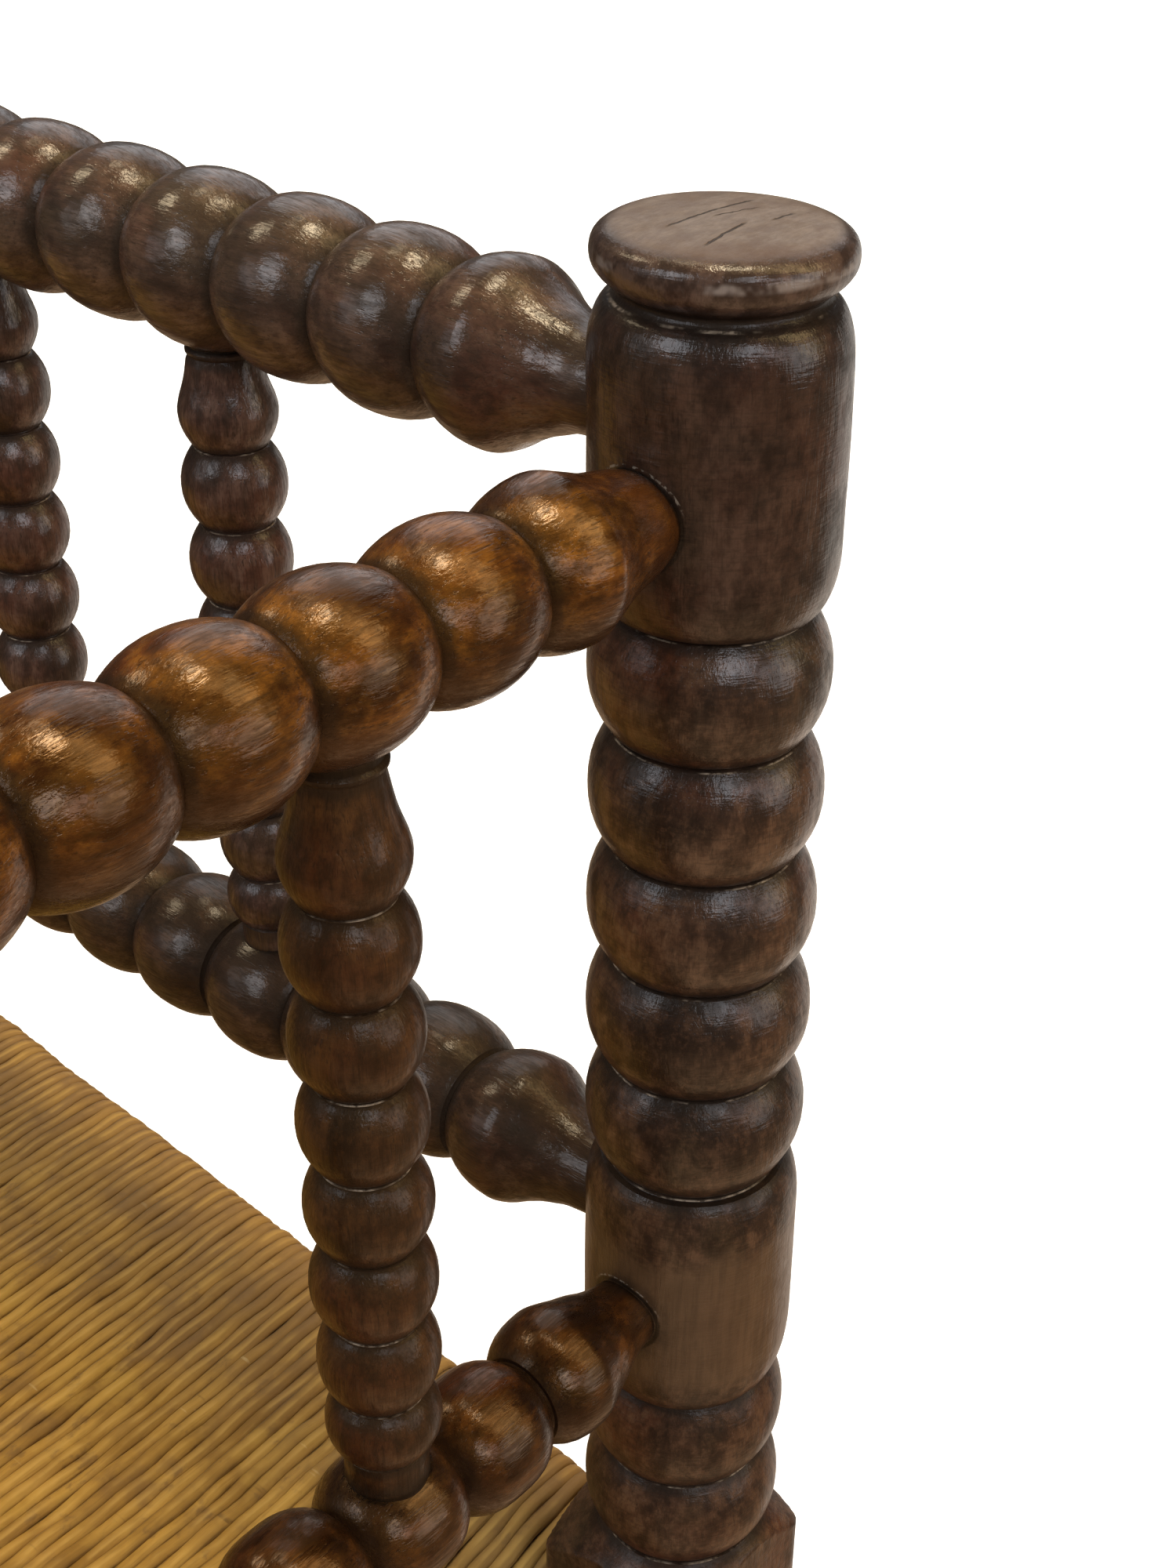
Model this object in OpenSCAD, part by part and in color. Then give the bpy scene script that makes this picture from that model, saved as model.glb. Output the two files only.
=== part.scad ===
/* [Overall] */
// Height of the axis of the two upper back rails above the floor
rail_top_z = 740; // [700:1:820]
// Height of the seat rails of the back and the front above the floor
seat_rail_z = 394; // [384:1:404]

/* [Posts] */
// Largest radius of the turned posts
post_r = 25; // [24:0.5:27]
// Radius in the grooves between the bobbins of a post
post_groove_r = 19.8; // [19:0.1:22]
// Length of one bobbin of a post
post_pitch = 28; // [27:0.1:29]

/* [Back and front rails] */
// Beads on each long rail, one more than a multiple of three
back_beads = 31; // [19:3:37]
// Length of one bead of a long rail
back_pitch = 30.5; // [28:0.1:33]
// Post axis to the centre of the first bead
back_first = 52.3; // [50:0.1:56]
// Largest radius of the beads of a long rail
back_r = 20; // [19:0.1:21]
// Radius in the grooves of a long rail
back_groove_r = 14.4; // [13:0.1:16]

/* [Arm rails] */
// Beads on each arm rail
arm_beads = 13; // [13:4:17]
// Length of one bead of an arm rail
arm_pitch = 26.5; // [25:0.1:28]
// Post axis to the centre of the first bead
arm_first = 47.1; // [44:0.1:50]
// Largest radius of the beads of an arm rail
arm_r = 16.3; // [15.5:0.1:18]
// Radius in the grooves of an arm rail
arm_groove_r = 11.8; // [11:0.1:13]
// How far the side rails sit below the back rails, so the tenons pass each other
stagger = 12.7; // [12:0.1:15]

/* [Spindles] */
// Upper rail axis to lower rail axis in the back
rail_gap = 203; // [201:0.5:206]
// Upper rail axis to lower rail axis in an arm
arm_gap = 201.2; // [200:0.1:204]
// Largest radius of the beads of a spindle
spindle_r = 12.5; // [12:0.1:13.5]
// Radius in the grooves of a spindle
spindle_groove_r = 8.6; // [8:0.1:10]
// Length of one bead of a spindle
spindle_pitch = 19.9; // [19.4:0.1:20]

/* [Seat] */
// Thickness of a seat rail
seat_rail_w = 20; // [18:1:22]
// Height of a seat rail
seat_rail_h = 24; // [22:1:28]
// Thickness of the woven rush on the outside of a seat rail
rush_wrap = 12; // [9:0.5:13]
// Thickness of the woven seat
rush_h = 64; // [60:1:66]

/* [Stretchers] */
// Height of the front and back stretchers above the floor
stretcher_z = 168; // [150:1:180]
// Largest radius of the beads of a stretcher
stretcher_r = 17; // [16:0.5:19]

/* [Hidden] */
$fn = 96;

span_x = 2 * back_first + (back_beads - 1) * back_pitch;
span_y = 2 * arm_first + (arm_beads - 1) * arm_pitch;
px = span_x / 2;
py = span_y / 2;
low_z = rail_top_z - rail_gap;
arm_top_z = rail_top_z - stagger;
arm_low_z = arm_top_z - arm_gap;
side_seat_z = seat_rail_z - 13;
side_stretcher_z = stretcher_z - stagger;

// Heights along a post, from the floor up
cap_top_z = rail_top_z + 38.5;
block_top_hi = rail_top_z + 24.3;
block_top_lo = rail_top_z - 37.5;
block_mid_hi = block_top_lo - 5 * post_pitch;
block_mid_lo = block_mid_hi - 67;
square_hi = block_mid_lo - 2 * post_pitch;
square_lo = square_hi - 77;
block_low_hi = stretcher_z + 25;
block_low_lo = block_low_hi - 64;
leg_beads = 6;
leg_pitch = (square_lo - block_low_hi) / leg_beads;
foot_top = 56;

bore_gap = 0.05;
tenon_r = 7;
tenon_end = 10;
housing_end = 18.5;
back_neck_r = 10;
arm_neck_r = 9;
spindle_top_r = 8;
spindle_foot_r = 8.8;
spindle_end = 7;
seat_tenon_r = 9;

walnut = "#4a2a18";
chestnut = "#6b3a18";
straw = "#a5824a";

// One turned bead as a half profile: radius along x, its length along y
module bead(y0, len, r, rg) {
    s = r - rg;
    h = len / 2;
    rho = (h * h + s * s) / (2 * s);
    intersection() {
        translate([r - rho, y0 + h]) circle(r = rho);
        translate([0, y0 - 0.1]) square([r + 1, len + 0.2]);
    }
}

// A straight turned block. Its lower end is rounded over dl along the axis, its upper end over dh, both down to rg
module block(y0, y1, r, rg, dl, dh) {
    polygon(concat([[0, y0]],
                   [for (i = [0:8]) let(a = 90 * i / 8) [rg + (r - rg) * sin(a), y0 + dl - dl * cos(a)]],
                   [for (i = [0:8]) let(a = 90 - 90 * i / 8) [rg + (r - rg) * sin(a), y1 - dh + dh * cos(a)]],
                   [[0, y1]]));
}

module post_profile() {
    union() {
        translate([0, 0]) square([10, cap_top_z]);
        // foot
        polygon([[0, 0], [16.5, 0], [18.5, 2], [18.5, 8], [15, 12], [0, 12]]);
        bead(11.5, foot_top - 11.5, post_r - 0.5, 15.5);
        // bobbins between the foot and the low block
        for (i = [0:1])
            bead(foot_top + i * (block_low_lo - foot_top) / 2, (block_low_lo - foot_top) / 2, post_r - 0.2, post_groove_r);
        block(block_low_lo, block_low_hi, post_r, post_groove_r, 12, 9);
        for (i = [0:leg_beads - 1])
            bead(block_low_hi + i * leg_pitch, leg_pitch, post_r - 0.2, post_groove_r);
        // core of the square block
        translate([0, square_lo - 0.5]) square([post_groove_r + 0.6, square_hi - square_lo + 1]);
        for (i = [0:1])
            bead(square_hi + i * post_pitch, post_pitch, post_r - 0.3, post_groove_r);
        block(block_mid_lo, block_mid_hi, post_r, post_groove_r, 16, 12);
        for (i = [0:4])
            bead(block_mid_hi + i * post_pitch, post_pitch, post_r - 0.2, post_groove_r);
        block(block_top_lo, block_top_hi, post_r, post_r - 4.4, 13, 11);
        // cap
        translate([0, block_top_hi - 1]) square([post_r - 4.9, 3]);
        polygon([[0, block_top_hi + 1], [post_r - 4.2, block_top_hi + 1], [post_r - 2.2, block_top_hi + 3.2],
                 [post_r - 0.8, block_top_hi + 5.4], [post_r - 0.4, block_top_hi + 7.4], [post_r - 0.9, block_top_hi + 9.6],
                 [post_r - 2.2, block_top_hi + 11.5], [post_r - 4.4, block_top_hi + 12.8], [post_r - 8, block_top_hi + 13.6],
                 [post_r - 14, block_top_hi + 14], [post_r - 21, cap_top_z], [0, cap_top_z]]);
    }
}

module long_bore(z, rn) {
    // housing for the neck and the bore for the tenon, along +X
    translate([housing_end, 0, z]) rotate([0, 90, 0]) cylinder(r = rn + bore_gap, h = 20);
    translate([tenon_end - 0.5, 0, z]) rotate([0, 90, 0]) cylinder(r = tenon_r + bore_gap, h = 20);
}

module square_bore(z) {
    translate([tenon_end - 0.5, 0, z]) rotate([0, 90, 0]) cylinder(r = seat_tenon_r + bore_gap, h = 20);
}

// One post, its long rails leaving along +X and its side rails along +Y
module post_shape(top_rails) {
    difference() {
        union() {
            rotate_extrude() post_profile();
            // square block at seat level, its shoulders turned to cones
            intersection() {
                translate([-post_r, -post_r, square_lo]) cube([2 * post_r, 2 * post_r, square_hi - square_lo]);
                rotate_extrude()
                    polygon([[0, square_lo], [post_groove_r + 0.6, square_lo], [post_r * 1.5, square_lo + 14],
                             [post_r * 1.5, square_hi - 16], [post_groove_r + 0.6, square_hi], [0, square_hi]]);
            }
        }
        if (top_rails) {
            long_bore(rail_top_z, back_neck_r);
            long_bore(low_z, back_neck_r);
        }
        rotate([0, 0, 90]) long_bore(arm_top_z, arm_neck_r);
        rotate([0, 0, 90]) long_bore(arm_low_z, arm_neck_r);
        square_bore(seat_rail_z);
        rotate([0, 0, 90]) square_bore(side_seat_z);
        long_bore(stretcher_z, back_neck_r);
        rotate([0, 0, 90]) long_bore(side_stretcher_z, arm_neck_r);
    }
}

// Shape of the vase at a rail's end: [share of the way from the neck to the first bead, share of the rise]
back_vase = [[0.14, 0.05], [0.28, 0.12], [0.42, 0.24], [0.57, 0.41], [0.67, 0.55], [0.78, 0.71], [0.88, 0.86], [0.95, 0.95]];
arm_vase = [[0.17, 0.16], [0.35, 0.31], [0.52, 0.49], [0.69, 0.68], [0.82, 0.82], [0.92, 0.93]];

// A beaded rail of n beads between two post axes, lying along +Y of the profile
module rail_profile(n, first, pitch, r, rg, rn, vase) {
    len = 2 * first + (n - 1) * pitch;
    tip = first + pitch / 2;
    union() {
        translate([0, tenon_end]) square([tenon_r, len - 2 * tenon_end]);
        for (e = [0, 1])
            translate([0, e * len]) mirror([0, e])
                union() {
                    polygon(concat([[0, housing_end + 0.3], [rn, housing_end + 0.3], [rn, 24]],
                                   [for (v = vase) [rn + (r - rn) * v[1], 24 + (first - 24) * v[0]]], [[r, first], [0, first]]));
                    intersection() {
                        bead(first - pitch / 2, pitch, r, rg);
                        translate([0, first - 0.1]) square([r + 1, pitch]);
                    }
                }
        for (i = [1:n - 2])
            bead(first + (i - 0.5) * pitch, pitch, r, rg);
    }
}

module rail_bar(n, first, pitch, r, rg, rn, vase) {
    rotate_extrude() rail_profile(n, first, pitch, r, rg, rn, vase);
}

module back_rail_bar(z, side) {
    // side 1: bores underneath for the spindle tops, -1: on top for the spindle feet, 0: none
    difference() {
        translate([-px, py, z]) rotate([0, 90, 0]) rail_bar(back_beads, back_first, back_pitch, back_r, back_groove_r, back_neck_r, back_vase);
        if (side != 0)
            for (i = [3:3:back_beads - 4])
                spindle_bore(-px + back_first + i * back_pitch, py, z, side);
    }
}

module arm_rail_bar(x, z, side) {
    difference() {
        translate([x, py, z]) rotate([90, 0, 0]) rail_bar(arm_beads, arm_first, arm_pitch, arm_r, arm_groove_r, arm_neck_r, arm_vase);
        for (i = [2:4:arm_beads - 3])
            spindle_bore(x, py - arm_first - i * arm_pitch, z, side);
    }
}

module spindle_bore(x, y, z, side) {
    if (side > 0)
        translate([x, y, z - 30]) cylinder(r = spindle_top_r + bore_gap, h = 30 - spindle_end + 0.4);
    else
        translate([x, y, z + spindle_end - 0.4]) cylinder(r = spindle_foot_r + bore_gap, h = 30);
}

// A spindle hanging from the axis of its upper rail down to the axis of its lower rail; its last bead is shorter
module spindle_profile(gap) {
    top = -43.5;
    last = spindle_pitch - 4.3;
    low = top - 6 * spindle_pitch - last;
    union() {
        translate([0, -gap + spindle_end]) square([spindle_top_r - 1.5, gap - 2 * spindle_end]);
        translate([0, -27]) square([spindle_top_r, 27 - spindle_end]);
        translate([0, -gap + spindle_end]) square([spindle_foot_r, gap - spindle_end + low + 1]);
        polygon([[0, top], [spindle_groove_r - 0.2, top], [9.6, -42], [10.8, -39.6], [11.5, -37.2], [11.6, -35],
                 [11.1, -32.2], [10, -29.2], [9.2, -26.4], [8.7, -23.4], [8.2, -20.9], [0, -20.9]]);
        for (i = [0:5])
            bead(top - (i + 1) * spindle_pitch, spindle_pitch, spindle_r, spindle_groove_r);
        bead(low, last, spindle_r - 0.6, spindle_foot_r - 0.3);
    }
}

module spindle(x, y, z, gap) {
    translate([x, y, z]) rotate_extrude() spindle_profile(gap);
}

module back_spindle(i) {
    color(walnut) spindle(-px + back_first + 3 * i * back_pitch, py, rail_top_z, rail_gap);
}

module arm_spindle(x, i) {
    color(chestnut) spindle(x, py - arm_first - (4 * i - 2) * arm_pitch, arm_top_z, arm_gap);
}

// A seat rail with rounded edges and round tenons, along +X from post axis to post axis
module seat_rail(len, grow = 0, tenons = true) {
    w = seat_rail_w / 2 + grow;
    s = seat_rail_h / 2 - seat_rail_w / 2;
    union() {
        translate([post_r - grow, -w, -s]) cube([len - 2 * post_r + 2 * grow, 2 * w, 2 * s]);
        for (k = [-1, 1])
            translate([post_r - grow, 0, k * s]) rotate([0, 90, 0]) cylinder(r = w, h = len - 2 * post_r + 2 * grow);
        if (tenons)
            translate([tenon_end, 0, 0]) rotate([0, 90, 0]) cylinder(r = seat_tenon_r, h = len - 2 * tenon_end);
    }
}

// The rush wrapped round one seat rail, along +X
module rush_edge(len) {
    r = seat_rail_w / 2 + rush_wrap;
    s = rush_h / 2 - r;
    translate([0, -r, -s]) cube([len, 2 * r, 2 * s]);
    for (k = [-1, 1])
        translate([0, 0, k * s]) rotate([0, 90, 0]) cylinder(r = r, h = len);
}

module post_back_left() { color(walnut) translate([-px, py, 0]) mirror([0, 1, 0]) post_shape(true); }
module post_back_right() { color(walnut) translate([px, py, 0]) mirror([1, 0, 0]) mirror([0, 1, 0]) post_shape(true); }
module post_front_left() { color(walnut) translate([-px, -py, 0]) post_shape(false); }
module post_front_right() { color(walnut) translate([px, -py, 0]) mirror([1, 0, 0]) post_shape(false); }

module back_top_rail() { color(walnut) back_rail_bar(rail_top_z, 1); }
module back_lower_rail() { color(walnut) back_rail_bar(low_z, -1); }
module arm_top_rail_left() { color(chestnut) arm_rail_bar(-px, arm_top_z, 1); }
module arm_top_rail_right() { color(chestnut) arm_rail_bar(px, arm_top_z, 1); }
module arm_lower_rail_left() { color(chestnut) arm_rail_bar(-px, arm_low_z, -1); }
module arm_lower_rail_right() { color(chestnut) arm_rail_bar(px, arm_low_z, -1); }

module seat_rail_back() { color(walnut) translate([-px, py, seat_rail_z]) seat_rail(span_x); }
module seat_rail_front() { color(walnut) translate([-px, -py, seat_rail_z]) seat_rail(span_x); }
module seat_rail_left() { color(walnut) translate([-px, -py, side_seat_z]) rotate([0, 0, 90]) seat_rail(span_y); }
module seat_rail_right() { color(walnut) translate([px, -py, side_seat_z]) rotate([0, 0, 90]) seat_rail(span_y); }

module rush_seat() {
    color(straw) difference() {
        union() {
            translate([-px, -py, seat_rail_z - rush_h / 2]) cube([span_x, span_y, rush_h]);
            for (k = [-1, 1]) {
                translate([-px, k * py, seat_rail_z]) rush_edge(span_x);
                translate([k * px, -py, seat_rail_z]) rotate([0, 0, 90]) rush_edge(span_y);
            }
        }
        for (k = [-1, 1]) {
            translate([-px, k * py, seat_rail_z]) seat_rail(span_x, 0.1, false);
            translate([k * px, -py, side_seat_z]) rotate([0, 0, 90]) seat_rail(span_y, 0.1, false);
            for (m = [-1, 1])
                translate([k * px - post_r - 0.3, m * py - post_r - 0.3, 300]) cube([2 * post_r + 0.6, 2 * post_r + 0.6, 200]);
        }
    }
}

module stretcher_bar_x(y) {
    color(walnut) translate([-px, y, stretcher_z]) rotate([0, 90, 0])
        rail_bar(back_beads, back_first, back_pitch, stretcher_r, stretcher_r - 5.2, back_neck_r, back_vase);
}

module stretcher_bar_y(x) {
    color(walnut) translate([x, py, side_stretcher_z]) rotate([90, 0, 0])
        rail_bar(arm_beads, arm_first, arm_pitch, stretcher_r, stretcher_r - 5, arm_neck_r, arm_vase);
}

module stretcher_front() { stretcher_bar_x(-py); }
module stretcher_back() { stretcher_bar_x(py); }
module stretcher_left() { stretcher_bar_y(-px); }
module stretcher_right() { stretcher_bar_y(px); }

post_back_left();
post_back_right();
post_front_left();
post_front_right();
back_top_rail();
back_lower_rail();
arm_top_rail_left();
arm_top_rail_right();
arm_lower_rail_left();
arm_lower_rail_right();
back_spindle(1);  // back_spindle_1
back_spindle(2);  // back_spindle_2
back_spindle(3);  // back_spindle_3
back_spindle(4);  // back_spindle_4
back_spindle(5);  // back_spindle_5
back_spindle(6);  // back_spindle_6
back_spindle(7);  // back_spindle_7
back_spindle(8);  // back_spindle_8
back_spindle(9);  // back_spindle_9
arm_spindle(-px, 1);  // arm_spindle_left_1
arm_spindle(-px, 2);  // arm_spindle_left_2
arm_spindle(-px, 3);  // arm_spindle_left_3
arm_spindle(px, 1);  // arm_spindle_right_1
arm_spindle(px, 2);  // arm_spindle_right_2
arm_spindle(px, 3);  // arm_spindle_right_3
seat_rail_front();
seat_rail_back();
seat_rail_left();
seat_rail_right();
rush_seat();
stretcher_front();
stretcher_back();
stretcher_left();
stretcher_right();
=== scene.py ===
import math

import bpy
import numpy as np
from mathutils import Matrix, Vector


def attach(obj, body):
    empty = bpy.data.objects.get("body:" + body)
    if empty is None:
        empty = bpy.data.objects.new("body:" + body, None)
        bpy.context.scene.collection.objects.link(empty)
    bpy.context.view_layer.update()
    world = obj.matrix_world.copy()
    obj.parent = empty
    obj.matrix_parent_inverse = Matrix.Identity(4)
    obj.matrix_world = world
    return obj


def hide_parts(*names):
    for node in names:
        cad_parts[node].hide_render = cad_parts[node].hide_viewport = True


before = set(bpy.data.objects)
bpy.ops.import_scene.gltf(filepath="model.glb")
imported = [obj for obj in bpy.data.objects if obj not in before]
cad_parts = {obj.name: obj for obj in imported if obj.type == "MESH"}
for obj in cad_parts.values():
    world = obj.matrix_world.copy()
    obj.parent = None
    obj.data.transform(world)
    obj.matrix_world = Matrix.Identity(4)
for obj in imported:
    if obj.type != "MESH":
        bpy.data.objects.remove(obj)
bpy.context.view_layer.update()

# ---------------------------------------------------------------- sizes, in millimetres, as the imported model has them
PX, PY = 509.8, 206.1
RAIL_Z, GAP, ARM_GAP, STAG = 740.0, 203.0, 201.2, 12.7
LOW_Z = RAIL_Z - GAP
ARM_Z = RAIL_Z - STAG
ARM_LOW = ARM_Z - ARM_GAP
STR_Z, STR_SIDE = 168.0, 168.0 - STAG
SEAT_Z, SEAT_SIDE = 394.0, 381.0
BACK = dict(n=31, first=52.3, pitch=30.5, r=20.1, rg=14.4, q=2.38, rn=10.0,
            vase=[(24, 10.0), (28, 10.6), (32, 11.0), (36, 12.4), (40, 13.9), (45, 16.5), (49, 19.0), (52.3, 20.1)])
BACK_LOW = dict(BACK, r=19.6, vase=[(24, 10.4), (28, 10.8), (32, 11.3), (36, 12.5), (40, 13.9), (45, 16.4), (49, 18.7), (52.3, 19.6)])
ARM = dict(n=13, first=47.1, pitch=26.5, r=16.45, rg=12.3, q=2.1, rn=9.6,
           vase=[(24, 9.8), (28, 11.1), (32, 11.9), (36, 12.7), (40, 14.1), (43, 15.2), (47.1, 16.45)])
ARM_LOWER = dict(n=13, first=47.1, pitch=26.5, r=15.65, rg=9.9, q=3.0, rn=8.6,
                 vase=[(24, 8.6), (28, 9.2), (32, 10.3), (36, 12.0), (40, 13.3), (43, 14.5), (47.1, 15.65)])
TAU = 2 * math.pi


# ---------------------------------------------------------------- mesh helpers
def make_mesh(name, co, quads, tris=(), sharp=None, attrs=None, vecs=None):
    """A mesh object from arrays: co in metres, quads and tris as index arrays, attrs {name: per point value}."""
    quads = np.asarray(quads, np.int32).reshape(-1, 4)
    tris = np.asarray(tris, np.int32).reshape(-1, 3)
    me = bpy.data.meshes.new(name)
    me.vertices.add(len(co))
    me.vertices.foreach_set("co", np.asarray(co, np.float32).ravel())
    loops = np.concatenate([quads.ravel(), tris.ravel()])
    me.loops.add(len(loops))
    me.loops.foreach_set("vertex_index", loops)
    me.polygons.add(len(quads) + len(tris))
    starts = np.concatenate([np.arange(len(quads)) * 4, len(quads) * 4 + np.arange(len(tris)) * 3])
    me.polygons.foreach_set("loop_start", starts.astype(np.int32))
    me.update(calc_edges=True)
    me.polygons.foreach_set("use_smooth", np.ones(len(me.polygons), bool))
    for k, v in (attrs or {}).items():
        a = me.attributes.new(k, "FLOAT", "POINT")
        a.data.foreach_set("value", np.asarray(v, np.float32).ravel())
    for k, v in (vecs or {}).items():
        a = me.attributes.new(k, "FLOAT_VECTOR", "POINT")
        a.data.foreach_set("vector", np.asarray(v, np.float32).ravel())
    if sharp is not None:
        me.set_sharp_from_angle(angle=math.radians(sharp))
    me.validate()
    ob = bpy.data.objects.new(name, me)
    bpy.context.scene.collection.objects.link(ob)
    return ob


def wobble(rng, th, z, amp, waves):
    """A smooth pseudo-random field on a turned surface, th round it and z along it in mm."""
    out = np.zeros(np.broadcast(th, z).shape)
    for m, length, share in waves:
        for _ in range(2):
            f = TAU / (length * rng.uniform(0.8, 1.25))
            out = out + share * np.sin(m * th + f * z + rng.uniform(0, TAU)) * rng.uniform(0.5, 1)
    return amp * out


# ---------------------------------------------------------------- profiles: rows of (along, radius, groove, lip)
def smooth_curve(x, pts):
    """Smooth monotone curve through a few (x, y) points."""
    kx, ky = np.array(pts, float).T
    h = np.diff(kx)
    d = np.diff(ky) / h
    m = np.concatenate([[d[0]], np.where(d[:-1] * d[1:] > 0, 2 * d[:-1] * d[1:] / np.where(d[:-1] + d[1:] == 0, 1, d[:-1] + d[1:]), 0), [0.0]])
    x = np.clip(x, kx[0], kx[-1])
    i = np.clip(np.searchsorted(kx, x, side="right") - 1, 0, len(kx) - 2)
    t = (x - kx[i]) / h[i]
    return ky[i] * (1 + 2 * t) * (1 - t) ** 2 + h[i] * m[i] * t * (1 - t) ** 2 + ky[i + 1] * t * t * (3 - 2 * t) + h[i] * m[i + 1] * t * t * (t - 1)


def bead(y0, length, r, rg, q=2.3, n=15, low=0.0, high=0.0, half=None):
    """One bead as rows; low and high are how far its two ends are held back from the groove. half keeps 'up' or 'down' only."""
    h = length / 2
    rows = []
    for i in range(n):
        t = math.sin(math.pi / 2 * (-1 + 2 * i / (n - 1)))
        if (half == "up" and t < -1e-6) or (half == "down" and t > 1e-6):
            continue
        y = y0 + h + h * t
        if y < y0 + low - 1e-6 or y > y0 + length - high + 1e-6:
            continue
        rows.append([y, r - (r - rg) * abs(t) ** q, 0.0, 0.0])
    return rows


def groove(y, rg, deep=0.8, lip=True, step=0.3):
    """The cut between two beads, as rows from below it to above it. The lower bead keeps a crisp arris."""
    if lip:
        return [[y - 1.05 * step / 0.3 * 0.55, rg + 0.42, 0.4, 0.0], [y - 0.42, rg + 0.30, 0.7, 1.0], [y - 0.16, rg - 0.25 * deep, 1.0, 0.15],
                [y + 0.02, rg - deep, 1.0, 0.0], [y + 0.2, rg - deep, 1.0, 0.0], [y + 0.55, rg + 0.12, 0.9, 0.0]]
    return [[y - 0.5, rg + 0.1, 0.9, 0.0], [y, rg - deep, 1.0, 0.0], [y + 0.5, rg + 0.1, 0.9, 0.0]]


def block_rows(z0, z1, r, rl, rh, dl, dh, n=9, step=3.0):
    """A straight turned block from z0 to z1; its lower end is rounded over dl down to rl, its upper end over dh down to rh."""
    rows = []
    for i in range(n + 1):
        a = math.pi / 2 * i / n
        rows.append([z0 + dl - dl * math.cos(a), rl + (r - rl) * math.sin(a), 0.0, 0.0])
    k = max(2, int((z1 - z0 - dl - dh) / step))
    for i in range(1, k):
        rows.append([z0 + dl + (z1 - z0 - dl - dh) * i / k, r, 0.0, 0.0])
    for i in range(n + 1):
        a = math.pi / 2 * i / n
        rows.append([z1 - dh + dh * math.sin(a), rh + (r - rh) * math.cos(a), 0.0, 0.0])
    return rows


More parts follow.
